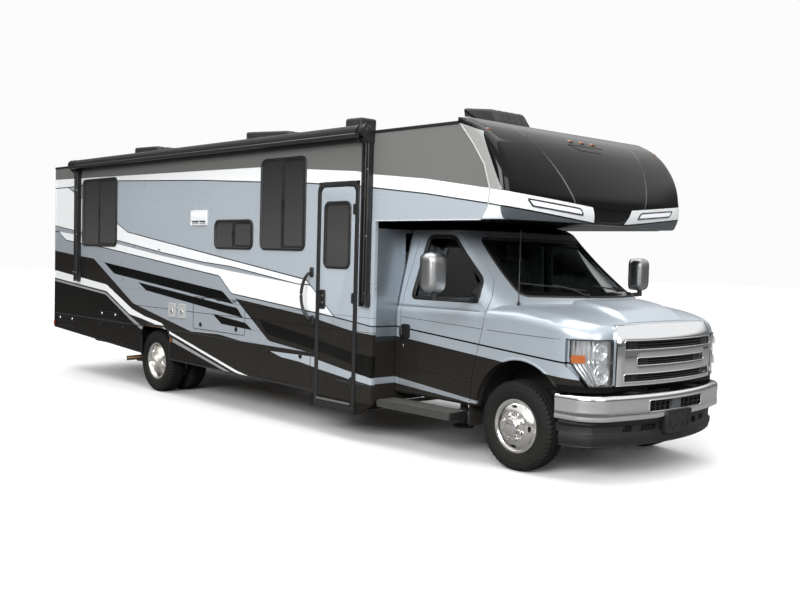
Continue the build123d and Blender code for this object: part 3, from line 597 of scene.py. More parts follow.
paintColours.update({"lip": colour(84, 90, 94), "pale": colour(214, 221, 227), "wrap": colour(150, 149, 146),
                     "face": colour(12, 12, 12), "faceMiddle": colour(19, 19, 18)})


def makeCapStripes():
    tree, _, outputs = newGroup("capStripes", [], [("Color", colourKind), ("Gloss", floatKind)])
    parts = put(tree, "ShaderNodeSeparateXYZ", {0: placeOnObject(tree)})
    x, z = parts.outputs["X"], parts.outputs["Z"]
    y = calc(tree, "ABSOLUTE", parts.outputs["Y"])
    span, sideSpan = (0.0, 1.5), (-1.0, 0.5)
    across = chartAcross(tree, y, span)
    along = chartAcross(tree, x, sideSpan)
    height = calc(tree, "DIVIDE", z, chartZ)
    # painted highlight: the ash line along the ridge stands for the light on that raised edge
    ridge = calc(tree, "LESS_THAN",
                 calc(tree, "ABSOLUTE",
                      calc(tree, "SUBTRACT", height, chartLine(tree, across, capFrontLines["ridge"], span))),
                 0.004)
    inner = calc(tree, "GREATER_THAN", height, chartLine(tree, across, capFrontLines["ridge"], span))
    face = mixColour(tree, inner, paintColours["face"], paintColours["faceMiddle"])
    face = mixColour(tree, calc(tree, "MULTIPLY", ridge, 0.7), face, paintColours["ash"])
    frontLines = {key: capFrontLines[key] for key in ("wingTop", "wingLow", "lipTop")}
    front = layered(tree, face, across, height, frontLines, capFrontLayers, [("wingLow", 0.012)], span,
                    "black")
    side = layered(tree, paintColours["pale"], along, height, capSideLines, capSideLayers,
                   [("sideLow", 0.012)], sideSpan)
    edgeX = put(tree, "ShaderNodeMapRange", {"Value": z, "From Min": 2.28, "From Max": 2.75, "To Min": 0.035,
                                             "To Max": -0.19}).outputs[0]
    topX = put(tree, "ShaderNodeMapRange", {"Value": z, "From Min": 2.75, "From Max": 2.87, "To Min": 0.0,
                                            "To Max": -0.36}).outputs[0]
    ahead = calc(tree, "SUBTRACT", x, calc(tree, "ADD", edgeX, topX))
    isFront = calc(tree, "GREATER_THAN", ahead, 0.0)
    # painted highlight: the ash line where the front face meets the side stands for the light on that fold
    seam = calc(tree, "MULTIPLY", calc(tree, "COMPARE", ahead, 0.0, 0.008), calc(tree, "GREATER_THAN", z,
                                                                                 2.28))
    whole = mixColour(tree, isFront, side, front)
    whole = mixColour(tree, seam, whole, paintColours["ash"])
    # painted shade: black below z 2.047 stands for the shadow on the cap's underside
    whole = mixColour(tree, calc(tree, "LESS_THAN", z, 2.047), whole, paintColours["black"])
    tree.links.new(whole, outputs["Color"])
    tree.links.new(isFront, outputs["Gloss"])
    return tree


# lines on the rear wall, as (distance from the middle, z)
rearLines = {"bandLow": [(0.0, 2.69), (1.3, 2.674)], "silverTop": [(0.0, 2.16), (0.7, 2.13), (1.3, 2.02)],
             "darkTop": [(0.0, 1.52), (0.6, 1.55), (1.3, 1.669)], "sweepTop": [(0.0, 1.3), (0.7, 1.31),
                                                                               (1.3, 1.391)],
             "sweepLow": [(0.0, 1.24), (0.7, 1.25), (1.3, 1.281)], "ashTop": [(0.0, 1.225), (1.3, 1.266)],
             "ashLow": [(0.0, 1.2), (1.3, 1.236)]}
rearLayers = [("silverLow", "silverTop", "darkTop"), ("charcoal", "darkTop", None),
              ("white", "sweepTop", "sweepLow"),
              ("skirt", "ashLow", None), ("ash", "ashTop", "ashLow"), ("band", None, "bandLow")]


def makeRearStripes():
    tree, inputs, outputs = newGroup("rearStripes", [("Sheen", floatKind, 1.0)],
                                     [("Color", colourKind), ("Metal", floatKind)])
    parts = put(tree, "ShaderNodeSeparateXYZ", {0: placeOnObject(tree)})
    span = (0.0, 1.5)
    across = chartAcross(tree, calc(tree, "ABSOLUTE", parts.outputs["Y"]), span)
    height = calc(tree, "DIVIDE", parts.outputs["Z"], chartZ)
    painted = layered(tree, paintColours["white"], across, height, rearLines, rearLayers,
                      [("silverTop", 0.013)], span)
    tree.links.new(painted, outputs["Color"])
    tree.links.new(calc(tree, "MULTIPLY", inputs["Sheen"], 0.1), outputs["Metal"])
    return tree


groups.update({"coachStripes": makeCoachStripes(), "cabStripes": makeCabStripes(),
               "capStripes": makeCapStripes(),
               "rearStripes": makeRearStripes()})


def useGroup(tree, name, values=None):
    node = put(tree, "ShaderNodeGroup", node_tree=groups[name])
    for key, value in (values or {}).items():
        node.inputs[key].default_value = value
    return node.outputs


def newMaterial(name, rough=0.5, metal=0.0, base=(0.5, 0.5, 0.5, 1), coat=0.0, coatRough=0.03, specular=0.5):
    material = bpy.data.materials.new(name)
    material.use_nodes = True
    tree = material.node_tree
    shader = tree.nodes["Principled BSDF"]
    shader.inputs["Base Color"].default_value = base
    shader.inputs["Roughness"].default_value = rough
    shader.inputs["Metallic"].default_value = metal
    shader.inputs["Coat Weight"].default_value = coat
    shader.inputs["Coat Roughness"].default_value = coatRough
    shader.inputs["Specular IOR Level"].default_value = specular
    material.diffuse_color = base
    return material, tree, shader


def bumped(tree, shader, height, strength, distance=0.001):
    bump = put(tree, "ShaderNodeBump", {"Height": height, "Strength": strength, "Distance": distance})
    tree.links.new(bump.outputs[0], shader.inputs["Normal"])


def ranged(tree, value, low, high):
    return put(tree, "ShaderNodeMapRange", {"Value": value, "To Min": low, "To Max": high}).outputs[0]


def stripedPaint(name, groupName, rough, dustTop, dustAmount, metalScale=1.0):
    material, tree, shader = newMaterial(name, rough=rough, coat=0.16, specular=0.03)
    paint = useGroup(tree, groupName)
    depth = useGroup(tree, "paintDepth")
    dust = useGroup(tree, "roadDust", {"Top": dustTop, "Amount": dustAmount})["Mask"]
    grain = useGroup(tree, "fineGrain", {"Scale": 40.0, "Contrast": 0.3})["Shade"]
    sparkle = put(tree, "ShaderNodeVectorMath", {0: paint["Color"], 1: depth["Sparkle"]},
                  operation="MULTIPLY")
    dusty = mixColour(tree, dust, sparkle.outputs[0], colour(120, 112, 100))
    tree.links.new(dusty, shader.inputs["Base Color"])
    tree.links.new(calc(tree, "ADD", ranged(tree, grain, rough * 0.75, rough * 1.25),
                        calc(tree, "MULTIPLY", dust, 0.5)), shader.inputs["Roughness"])
    if "Metal" in paint:
        tree.links.new(calc(tree, "MULTIPLY", paint["Metal"], metalScale), shader.inputs["Metallic"])
    tree.links.new(ranged(tree, dust, 0.16, 0.05), shader.inputs["Coat Weight"])
    bumped(tree, shader, depth["Height"], 0.05)
    return material


def grainedMaterial(name, base, rough, scale=260.0, strength=0.25, metal=0.0, dustTop=0.0, dustAmount=0.0,
                    spread=0.25, coat=0.0, dustColour=(120, 112, 100), group="mouldGrain"):
    material, tree, shader = newMaterial(name, rough=rough, metal=metal, base=base, coat=coat)
    grain = useGroup(tree, group, {"Scale": scale})
    shadeLow = tuple(c * (1 - spread) for c in base[:3]) + (1,)
    shadeHigh = tuple(min(c * (1 + spread), 1) for c in base[:3]) + (1,)
    tone = mixColour(tree, grain["Shade"], shadeLow, shadeHigh)
    if dustAmount:
        dust = useGroup(tree, "roadDust", {"Top": dustTop, "Amount": dustAmount})["Mask"]
        tone = mixColour(tree, dust, tone, colour(*dustColour))
    tree.links.new(tone, shader.inputs["Base Color"])
    tree.links.new(ranged(tree, grain["Shade"], rough * 0.8, min(rough * 1.2, 1)), shader.inputs["Roughness"])
    bumped(tree, shader, grain["Height"], strength, 0.0008)
    return material


def metalMaterial(name, base, rough, scale=60.0, stretch=(0.03, 1.0, 1.0), strength=0.04, wear=0.0,
                  spread=0.1,
                  dustTop=0.0, dustAmount=0.0, metal=1.0):
    material, tree, shader = newMaterial(name, rough=rough, metal=metal, base=base)
    lines = useGroup(tree, "brushedLines", {"Scale": scale, "Stretch": stretch})
    low = tuple(c * (1 - spread) for c in base[:3]) + (1,)
    high = tuple(min(c * (1 + spread), 1) for c in base[:3]) + (1,)
    tone = mixColour(tree, lines["Shade"], low, high)
    roughness = ranged(tree, lines["Shade"], rough * 0.7, rough * 1.4)
    if wear:
        worn = useGroup(tree, "edgeWear", {"Amount": wear})["Mask"]
        tone = mixColour(tree, worn, tone, colour(150, 148, 144))
    if dustAmount:
        dust = useGroup(tree, "roadDust", {"Top": dustTop, "Amount": dustAmount})["Mask"]
        tone = mixColour(tree, dust, tone, colour(112, 98, 80))
        roughness = calc(tree, "ADD", roughness, calc(tree, "MULTIPLY", dust, 0.6))
    tree.links.new(tone, shader.inputs["Base Color"])
    tree.links.new(roughness, shader.inputs["Roughness"])
    bumped(tree, shader, lines["Height"], strength, 0.0006)
    return material


def glassMaterial(name, tint, rough, transmission, specular=0.5, smear=0.02):
    material, tree, shader = newMaterial(name, rough=rough, base=tint, specular=specular)
    shader.inputs["Transmission Weight"].default_value = transmission
    shader.inputs["IOR"].default_value = 1.45
    grain = useGroup(tree, "fineGrain", {"Scale": 6.0, "Contrast": 0.6})
    low = tuple(c * 0.94 for c in tint[:3]) + (1,)
    tree.links.new(mixColour(tree, grain["Shade"], low, tint), shader.inputs["Base Color"])
    tree.links.new(ranged(tree, grain["Shade"], rough, rough + smear), shader.inputs["Roughness"])
    return material


def lensMaterial(name, tint, transmission, emission=0.0, scale=90.0):
    material, tree, shader = newMaterial(name, rough=0.08, base=tint, coat=0.6)
    shader.inputs["Transmission Weight"].default_value = transmission
    lines = useGroup(tree, "brushedLines", {"Scale": scale, "Stretch": (1.0, 1.0, 0.02)})
    low = tuple(c * 0.8 for c in tint[:3]) + (1,)
    tree.links.new(mixColour(tree, lines["Shade"], low, tint), shader.inputs["Base Color"])
    bumped(tree, shader, lines["Height"], 0.3, 0.001)
    if emission:
        shader.inputs["Emission Color"].default_value = tint
        shader.inputs["Emission Strength"].default_value = emission
    return material


def ledMaterial():
    material, tree, shader = newMaterial("ledBar", rough=0.25, base=colour(236, 238, 243), coat=0.3)
    grain = useGroup(tree, "fineGrain", {"Scale": 25.0, "Contrast": 0.4})
    tone = mixColour(tree, grain["Shade"], colour(222, 226, 234), colour(246, 247, 250))
    tree.links.new(tone, shader.inputs["Base Color"])
    tree.links.new(tone, shader.inputs["Emission Color"])
    shader.inputs["Emission Strength"].default_value = 0.3
    return material


def tintedGlass(name, low, high):                # dark coach glass, a little lighter towards its lower edge
    material, tree, shader = newMaterial(name, rough=0.03, base=high, specular=0.6)
    height = put(tree, "ShaderNodeSeparateXYZ", {0: placeOnObject(tree)}).outputs["Z"]
    up = put(tree, "ShaderNodeMapRange", {"Value": height, "From Min": 1.7, "From Max": 2.65}).outputs[0]
    grain = useGroup(tree, "fineGrain", {"Scale": 6.0, "Contrast": 0.6})
    tree.links.new(mixColour(tree, up, low, high), shader.inputs["Base Color"])
    tree.links.new(ranged(tree, grain["Shade"], 0.03, 0.05), shader.inputs["Roughness"])
    return material


def tyreMaterial():
    material, tree, shader = newMaterial("tyreRubber", rough=0.78, base=colour(20, 20, 20), specular=0.25)
    grain = useGroup(tree, "mouldGrain", {"Scale": 420.0})
    dust = useGroup(tree, "roadDust", {"Top": 0.9, "Amount": 0.22})["Mask"]
    tone = mixColour(tree, grain["Shade"], colour(14, 14, 14), colour(26, 26, 25))
    tree.links.new(mixColour(tree, dust, tone, colour(70, 66, 60)), shader.inputs["Base Color"])
    tree.links.new(ranged(tree, grain["Shade"], 0.6, 0.82), shader.inputs["Roughness"])
    bumped(tree, shader, grain["Height"], 0.2, 0.0005)
    return material


def fabricMaterial():
    material, tree, shader = newMaterial("seatFabric", rough=0.9, base=colour(88, 86, 84))
    shader.inputs["Sheen Weight"].default_value = 0.35
    point = placeOnObject(tree)
    weave = put(tree, "ShaderNodeTexWave", {"Vector": point, "Scale": 160.0, "Distortion": 1.5},
                bands_direction="DIAGONAL")
    grain = useGroup(tree, "fineGrain", {"Scale": 500.0, "Contrast": 1.4})
    tone = mixColour(tree, weave.outputs["Fac"], colour(66, 64, 63), colour(104, 102, 99))
    tree.links.new(mixColour(tree, calc(tree, "MULTIPLY", grain["Shade"], 0.4), tone, colour(48, 47, 46)),
                   shader.inputs["Base Color"])
    bumped(tree, shader, weave.outputs["Fac"], 0.4, 0.001)
    return material


def capMaterial():
    material, tree, shader = newMaterial("capPaint", rough=0.24, coat=0.3, coatRough=0.02, specular=0.05)
    paint = useGroup(tree, "capStripes")
    depth = useGroup(tree, "paintDepth", {"Peel": 30.0})
    sparkle = put(tree, "ShaderNodeVectorMath", {0: paint["Color"], 1: depth["Sparkle"]},
                  operation="MULTIPLY")
    tree.links.new(sparkle.outputs[0], shader.inputs["Base Color"])
    tree.links.new(ranged(tree, paint["Gloss"], 0.32, 0.16), shader.inputs["Roughness"])
    bumped(tree, shader, depth["Height"], 0.04)
    return material


chromeBase = (0.86, 0.87, 0.88, 1)
mats = {
    "coachSkin": stripedPaint("coachSkin", "coachStripes", 0.28, 1.3, 0.12),
    "rearSkin": stripedPaint("rearSkin", "rearStripes", 0.28, 1.3, 0.15),
    "cabPaint": stripedPaint("cabPaint", "cabStripes", 0.3, 1.0, 0.1, 0.55),
    "capPaint": capMaterial(),
    "gloss": grainedMaterial("glossBlack", colour(17, 17, 18), 0.16, 40.0, 0.02, coat=0.7, group="fineGrain"),
    "satin": grainedMaterial("satinBlack", colour(24, 24, 25), 0.42, 200.0, 0.12, group="fineGrain"),
    "blackPlastic": grainedMaterial("blackPlastic", colour(26, 26, 27), 0.5, 320.0, 0.35),
    "greyPlastic": grainedMaterial("greyPlastic", colour(76, 78, 80), 0.45, 260.0, 0.3, dustTop=0.7,
                                   dustAmount=0.25),
    "liner": grainedMaterial("linerPlastic", colour(30, 30, 31), 0.7, 180.0, 0.5, dustTop=1.0,
                             dustAmount=0.4),
    "rubber": grainedMaterial("softRubber", colour(18, 18, 18), 0.66, 240.0, 0.3, dustTop=0.7,
                              dustAmount=0.3),
    "seal": grainedMaterial("sealRubber", colour(15, 15, 16), 0.5, 300.0, 0.15),
    "roofWhite": grainedMaterial("roofMembrane", colour(176, 177, 175), 0.6, 60.0, 0.3, spread=0.05),
    "unitBlack": grainedMaterial("unitPlastic", colour(11, 11, 12), 0.6, 220.0, 0.2),
    "frame": metalMaterial("frameSteel", colour(38, 37, 36), 0.5, 25.0, (0.2, 1, 1), 0.2, wear=0.4, metal=0.2,
                           dustTop=1.1, dustAmount=0.5, spread=0.3),
    "cast": metalMaterial("castSteel", colour(64, 60, 56), 0.62, 90.0, (1, 1, 1), 0.5, wear=0.5, metal=0.5,
                          dustTop=1.0, dustAmount=0.6, spread=0.35),
    "block": metalMaterial("blockMetal", colour(110, 110, 110), 0.5, 70.0, (1, 1, 1), 0.4, metal=0.7,
                           spread=0.3),
    "pipe": metalMaterial("pipeSteel", colour(120, 98, 76), 0.36, 12.0, (1, 1, 1), 0.15, spread=0.35,
                          metal=0.9,
                          dustTop=0.8, dustAmount=0.3),
    "chrome": metalMaterial("chromePlate", chromeBase, 0.07, 14.0, (1, 1, 1), 0.02, spread=0.03),
    "alloy": metalMaterial("brushedAlloy", colour(176, 177, 178), 0.32, 220.0, (0.02, 1, 1), 0.08,
                           spread=0.12),
    "lampSilver": metalMaterial("lampReflector", (0.93, 0.94, 0.95, 1), 0.22, 20.0, (1, 1, 1), 0.02,
                                spread=0.03,
                                metal=0.7),
    "polished": metalMaterial("polishedRim", (0.86, 0.845, 0.82, 1), 0.17, 30.0, (1, 1, 1), 0.03, spread=0.06,
                              dustTop=0.9, dustAmount=0.12),
    "screen": glassMaterial("screenGlass", (0.66, 0.78, 0.73, 1), 0.0, 1.0),
    "doorGlass": glassMaterial("doorGlass", (0.06, 0.065, 0.066, 1), 0.0, 1.0, 0.22),
    "privacy": tintedGlass("privacyGlass", (0.062, 0.061, 0.060, 1), (0.022, 0.022, 0.022, 1)),
    "mirror": metalMaterial("mirrorGlass", (0.82, 0.84, 0.86, 1), 0.03, 5.0, (1, 1, 1), 0.0, spread=0.02),
    "clearLens": glassMaterial("clearLens", (0.96, 0.97, 0.98, 1), 0.0, 1.0, 0.5, 0.01),
    "amber": lensMaterial("amberLens", colour(236, 120, 10), 0.2, 0.08),
    "amberDark": lensMaterial("amberMarker", colour(150, 78, 14), 0.2, 0.02),
    "red": lensMaterial("redLens", colour(170, 14, 14), 0.2, 0.05),
    "whiteLens": lensMaterial("whiteLens", colour(225, 228, 230), 0.3),
    "ledWhite": ledMaterial(),
    "whitePlastic": grainedMaterial("whitePlastic", colour(232, 234, 235), 0.35, 160.0, 0.06, spread=0.03),
    "boardMetal": metalMaterial("boardMetal", colour(84, 84, 83), 0.45, 120.0, (0.03, 1, 1), 0.1, metal=0.6,
                                dustTop=0.6, dustAmount=0.3),
    "tyre": tyreMaterial(),
    "fabric": fabricMaterial(),
    "dash": grainedMaterial("dashPlastic", colour(58, 56, 52), 0.6, 300.0, 0.4),
    "board": grainedMaterial("woodBoard", colour(150, 120, 86), 0.55, 20.0, 0.2),
    "boardGrip": grainedMaterial("boardGrip", colour(66, 65, 61), 0.7, 400.0, 0.6, dustTop=0.6,
                                 dustAmount=0.3),
    "cornerTrim": grainedMaterial("cornerTrim", colour(206, 209, 211), 0.35, 120.0, 0.08, group="fineGrain",
                                  spread=0.06, coat=0.3),
    "doorFrame": grainedMaterial("doorFrame", colour(30, 31, 32), 0.38, 150.0, 0.1, group="fineGrain"),
    "awningFabric": grainedMaterial("awningFabric", colour(22, 22, 23), 0.75, 700.0, 0.4),
    "trimLight": grainedMaterial("lightTrim", colour(176, 177, 176), 0.4, 90.0, 0.1, group="fineGrain"),
    "valance": grainedMaterial("valancePlastic", colour(17, 18, 19), 0.6, 340.0, 0.45, dustTop=0.5,
                               dustAmount=0.1),
}
print("materials made:", len(mats))

# finishes of the CAD nodes that are kept as they are
nodeFinish = {
    "coachSkin": ["wall_right", "wall_left", "skirt_right", "skirt_left", "entry_door",
                  "storage_door_rear_right",
                  "storage_door_middle_right", "storage_door_front_right", "storage_door_rear_left",
                  "storage_door_front_left"],
    "rearSkin": ["wall_rear"], "roofWhite": ["roof"], "greyPlastic": ["storage_boxes"],
    "frame": ["frame_rails"], "cast": ["front_axle", "rear_axle", "knuckle_left", "knuckle_right", "gearbox"],
    "block": ["engine_block"], "blackPlastic": ["fuel_tank", "entry_steps"], "pipe": ["exhaust"],
    "board": ["coach_floor"], "rubber": ["mud_flaps"], "gloss": ["entry_frame", "window_frames"],
    "privacy": ["window_glass", "entry_door_glass"], "screen": ["windscreen"],
    "doorGlass": ["cab_door_glass_left", "cab_door_glass_right"],
    "satin": ["levelling_jacks", "rear_bumper", "awning", "bumper_valance"], "cabPaint": ["front_wall"],
    "chrome": ["grille", "front_bumper", "mirror_left", "mirror_right"], "capPaint": ["front_cap"],
    "unitBlack": ["roof_units"], "amber": ["lamps"], "fabric": ["cab_seats"], "clearLens": ["headlamps"],
    "boardMetal": ["running_boards"], "dash": ["dashboard"],
    "tyre": ["tyre_front_left", "tyre_front_right", "tyres_rear_left", "tyres_rear_right"],
    "polished": ["rim_front_left", "rim_front_right", "rims_rear_left", "rims_rear_right"],
}


def dressNodes(table):
    for key, names in table.items():
        for name in names:
            if name not in nodes:
                continue
            mesh = nodes[name].data
            mesh.materials.clear()
            mesh.materials.append(mats[key])
            mesh.shade_smooth()
            mesh.set_sharp_from_angle(angle=math.radians(28))


dressNodes(nodeFinish)


# wheels
wheelSizes = {"tyre": 0.372, "frontTrack": 0.881, "rearTrack": 0.988, "twinHalf": 0.150, "rearX": -5.5,
              "notches": 56,
              "grooveDepth": 0.009, "notchDepth": 0.008}
sideWall = [(-0.068, 0.2075), (-0.083, 0.2075), (-0.083, 0.224), (-0.094, 0.229), (-0.1, 0.236),
            (-0.1035, 0.241),
            (-0.105, 0.248), (-0.108, 0.26), (-0.1098, 0.273), (-0.1108, 0.284), (-0.1124, 0.288),
            (-0.1124, 0.296),
            (-0.111, 0.300), (-0.1103, 0.312), (-0.1085, 0.324), (-0.106, 0.335), (-0.1035, 0.342)]
treadEdges = [-0.1, -0.095, -0.089, -0.082, -0.0745, -0.062, -0.058, -0.056, -0.048, -0.046, -0.028, -0.02,
              -0.018, -0.010, -0.008, -0.002]
innerWall = [(-0.072, 0.238), (-0.094, 0.268), (-0.099, 0.3), (-0.091, 0.34), (-0.07, 0.352)]


def treadRadius(across, turn, s):
    a = abs(across)
    crown = s["tyre"] - 0.0035 * (a / 0.0745) ** 2 if a <= 0.075 else s["tyre"] - 0.0035 - 0.026 * ((a
        - 0.0745) / 0.0255) ** 1.6
    if 0.0475 < a < 0.0565 or 0.0095 < a < 0.0185:
        return crown - s["grooveDepth"]
    phase = (turn + (0.5 if across > 0 else 0) + a * 9) % 1.0
    if a > 0.0575 and phase < 0.34:
        return crown - s["notchDepth"] * (0.6 if a > 0.09 else 1.0)
    if a < 0.0475 and 0.46 < phase < 0.62:
        return crown - 0.003
    return crown


def tyreShape(x, y, s):
    steps = s["notches"] * 6
    treads = treadEdges + [-a for a in reversed(treadEdges)]
    rows = []
    for i in range(steps):
        turn = 2 * math.pi * i / steps
        ring = (sideWall + [(a, treadRadius(a, i / 6, s)) for a in treads]
                + [(-a, r) for a, r in reversed(sideWall)])
        ring += [(-a, r) for a, r in innerWall] + innerWall[::-1]
        rows.append([(x + r * math.cos(turn), y + a, s["tyre"] + r * math.sin(turn)) for a, r in ring])
    return grid(rows, closeRows=True)


rimEdge = [(-0.09, 0.222), (-0.084, 0.222), (-0.084, 0.2075), (-0.066, 0.204), (-0.05, 0.187), (0.05, 0.187),
           (0.066, 0.204), (0.083, 0.2075), (0.084, 0.2215), (0.0875, 0.2235), (0.0905, 0.222),
           (0.0912, 0.2165),
           (0.0905, 0.208), (0.087, 0.2005), (0.081, 0.197), (0.079, 0.1945), (0.0805, 0.192)]
frontDisc = [(0.088, 0.188), (0.095, 0.181), (0.103, 0.169), (0.110, 0.155), (0.1155, 0.142), (0.1185, 0.133),
             (0.1195, 0.129), (0.1185, 0.126), (0.119, 0.098), (0.119, 0.086), (0.1205, 0.081),
             (0.1225, 0.0795),
             (0.140, 0.077), (0.158, 0.0735), (0.1635, 0.0715), (0.1665, 0.068), (0.168, 0.060),
             (0.1665, 0.056),
             (0.1665, 0.044), (0.1685, 0.040), (0.1705, 0.030), (0.1712, 0.012), (0.1712, 0.0)]
frontBack = [(0.1, 0.0), (0.1, 0.06), (0.095, 0.12), (0.085, 0.15), (0.06, 0.17), (-0.05, 0.179),
             (-0.066, 0.196), (-0.089, 0.2)]
rearDisc = [(0.074, 0.19), (0.06, 0.181), (0.04, 0.178), (-0.06, 0.175), (-0.09, 0.164), (-0.112, 0.148),
            (-0.121, 0.132), (-0.123, 0.126), (-0.1235, 0.082), (-0.12, 0.076), (-0.06, 0.072),
            (-0.012, 0.066), (-0.005, 0.060), (-0.002, 0.050), (-0.001, 0.03), (-0.001, 0.0)]
rearBack = [(-0.14, 0.0), (-0.14, 0.1), (-0.134, 0.15), (-0.1, 0.185), (-0.09, 0.2)]


def nutCovers(radius, low, high, mat=0):
    shapes = []
    cover = [(low, 0.0155), (low + 0.006, 0.0172), (low + 0.008, 0.0155), (high - 0.008, 0.0135),
             (high - 0.002, 0.0105), (high, 0.005), (high, 0.0)]
    for i in range(8):
        turn = math.radians(45 * i + 22.5)
        shapes.append(lathe(cover, 18, (radius * math.cos(turn), 0, radius * math.sin(turn)), mat,
                            close=False))
    return joined(*shapes)


def handHole(radius, turn, low, high):
    outline = [(radius + 0.0125 * math.cos(a), 0.03 * math.sin(a)) for a in
               [2 * math.pi * i / 24 for i in range(24)]]
    c, s = math.cos(turn), math.sin(turn)
    return prism([(x * c - z * s, x * s + z * c) for x, z in outline], "y", low, high)


def rimObject(name, profile, nuts, holes, x, y, flipSide, body, replaced, extra=None):
    obj = newObject(name, lathe(profile, 96), [mats["polished"], mats["liner"]])
    for turn in (0.0, 1.571, 3.142, 4.712):
        cut(obj, handHole(holes[0], turn, holes[1], holes[2]))
    parts = [nutCovers(*nuts)] + ([extra] if extra else [])
    addMesh(obj, joined(*parts))
    turnRound = Matrix.Translation((x + frontX, y, wheelSizes["tyre"]))
    if flipSide:
        turnRound = turnRound @ Matrix.Scale(-1, 4, (0, 1, 0))
    for vertex in obj.data.vertices:
        vertex.co = turnRound @ (vertex.co - Vector((frontX, 0, 0)))
    if flipSide:
        obj.data.flip_normals()
    return finishPiece(obj, body, replaced, 40)


def addMesh(obj, shape):
    extra = newObject("extra", shape, [])
    tool = bmesh.new()
    tool.from_mesh(obj.data)
    tool.from_mesh(extra.data)
    tool.to_mesh(obj.data)
    tool.free()
    bpy.data.meshes.remove(extra.data)


def makeWheels(s):
    outer, inner = s["rearTrack"] + s["twinHalf"], s["rearTrack"] - s["twinHalf"]
    for side, sign in (("right", -1), ("left", 1)):
        body = "wheel_front_" + side
        piece("tyreFront" + side.title(), tyreShape(0, sign * s["frontTrack"], s), mats["tyre"], body,
              ["tyre_front_" + side], angle=26)
        rimObject("rimFront" + side.title(), rimEdge + frontDisc + frontBack, (0.104, 0.117, 0.149),
                  (0.163, 0.05, 0.13), 0, sign * s["frontTrack"], sign < 0, body,
                  ["rim_front_" + side])
        body = "wheels_rear_" + side
        tyres = joined(tyreShape(s["rearX"], sign * outer, s), tyreShape(s["rearX"], sign * inner, s))
        piece("tyresRear" + side.title(), tyres, mats["tyre"], body, ["tyres_rear_" + side], angle=26)
        innerRim = [Vector((p.x, -p.y - 2 * s["twinHalf"], p.z))
                    for p in lathe(rimEdge + rearDisc[:8] + [(-0.12, 0.05)] + rearBack[1:], 72)[0]]
        grown = lathe(rimEdge + rearDisc[:8] + [(-0.12, 0.05)] + rearBack[1:], 72)
        rimObject("rimsRear" + side.title(), rimEdge + rearDisc + rearBack, (0.104, -0.124, -0.09),
                  (0.146, -0.16, -0.07), s["rearX"], sign * outer, sign < 0, body,
                  ["rims_rear_" + side], (innerRim, grown[1], grown[2]))


makeWheels(wheelSizes)
print("wheels made")


# cab body: x, half width, edge height, crown height of the lower part
bodyTable = [(-1.446, 1.0, 1.345, 1.385), (-0.6, 1.0, 1.345, 1.390), (-0.02, 1.0, 1.345, 1.395),
             (0.240, 0.998, 1.325, 1.390), (0.500, 0.980, 1.280, 1.335), (0.690, 0.860, 1.225, 1.246),
             (0.735, 0.745, 1.180, 1.200)]
# height, half width, x of the corner, x of the middle of the windscreen's arc
houseTable = [(1.28, 0.986, -0.318, 0.42), (1.34, 0.972, -0.36, 0.352), (1.63, 0.9, -0.572, -0.116),
              (1.97, 0.812, -0.808, -0.654), (2.022, 0.765, -0.885, -0.735), (2.042, 0.70, -0.95, -0.79)]
doorOutline = [(-1.385, 0.5), (-1.385, 1.4), (-1.313, 1.965), (-0.833, 1.965), (-0.395, 1.56), (-0.33, 1.4),
               (-0.36, 1.15), (-0.42, 0.93), (-0.475, 0.72), (-0.475, 0.5)]
doorWindow = [(-1.277, 1.352), (-1.21, 1.922), (-0.876, 1.922), (-0.465, 1.545), (-0.452, 1.358)]
hoodOutline = [(0.06, -0.79), (0.285, -0.38), (0.3, 0), (0.285, 0.38), (0.06, 0.79), (0.56, 0.77),
               (0.68, 0.69), (0.69, 0), (0.68, -0.69), (0.56, -0.77)]
screenOutline = [(-0.775, 1.425), (-0.7, 1.905), (0.7, 1.905), (0.775, 1.425)]
lampOutline = [(0.54, -1.01), (0.64, -0.935), (0.715, -0.84), (0.757, -0.705), (0.7, -0.69), (0.655, -0.79),
               (0.58, -0.88), (0.49, -0.95), (0.49, -1.01)]
cabSizes = {"low": 0.48, "roof": 2.042, "rear": -1.446, "skin": 0.04, "doorSkin": 0.055, "hoodSkin": 0.022,
            "gap": 0.006,
            "panelLift": 0.024, "archX": 0.04, "archZ": 0.45, "archRadius": 0.465, "spaceRadius": 0.532}


def evenLine(points, count):                     # the same line with evenly spaced points
    points = [Vector(p) for p in points]
    lengths = [0.0]
    for a, b in zip(points, points[1:]):
        lengths.append(lengths[-1] + (b - a).length)
    line, k = [], 0
    for i in range(count):
        want = lengths[-1] * i / (count - 1)
        while k < len(points) - 2 and lengths[k + 1] < want:
            k += 1
        t = (want - lengths[k]) / max(lengths[k + 1] - lengths[k], 1e-9)
        line.append(points[k].lerp(points[k + 1], min(max(t, 0), 1)))
    return line


def softened(line, passes):                      # rounds the corners of an even line, keeping its ends
    for _ in range(passes):
        line = [line[0]] + [(a + 2 * b + c) / 4 for a, b, c in zip(line, line[1:], line[2:])] + [line[-1]]
    return line


def bodyRow(x, half, edge, crown, low, lift):
    corner = arcThrough((-(half - 0.07), edge), (0, crown), (half - 0.07, edge), 40)
    outline = [(-half, low), (-half, edge - 0.075)] + corner + [(half, edge - 0.075), (half, low)]
    line = softened(evenLine([(y, z, 0) for y, z in outline], 150), 5)
    raised = min(max((x - 0.02) / 0.2, 0), 1) * min(max((0.69 - x) / 0.14, 0), 1) * lift
    width = 0.52 - 0.09 * min(max(x / 0.7, 0), 1)
    row = []
    for p in line:
        t = min(max((width - abs(p.x)) / 0.05, 0), 1)
        row.append((x, p.x,
                    p.y + raised * t * t * (3 - 2 * t) - raised * 0.35 * (1 - t) * (p.y > edge - 0.05)))
    return row


def houseRow(z, half, cornerX, middleX, rear):
    arc = arcThrough((cornerX, -half), (middleX, 0), (cornerX, half), 40)
    outline = [(rear, -half)] + arc + [(rear, half)]
    line = softened(evenLine([(x, y, 0) for x, y in outline], 170), 9)
    return [(p.x, p.y, z) for p in line]


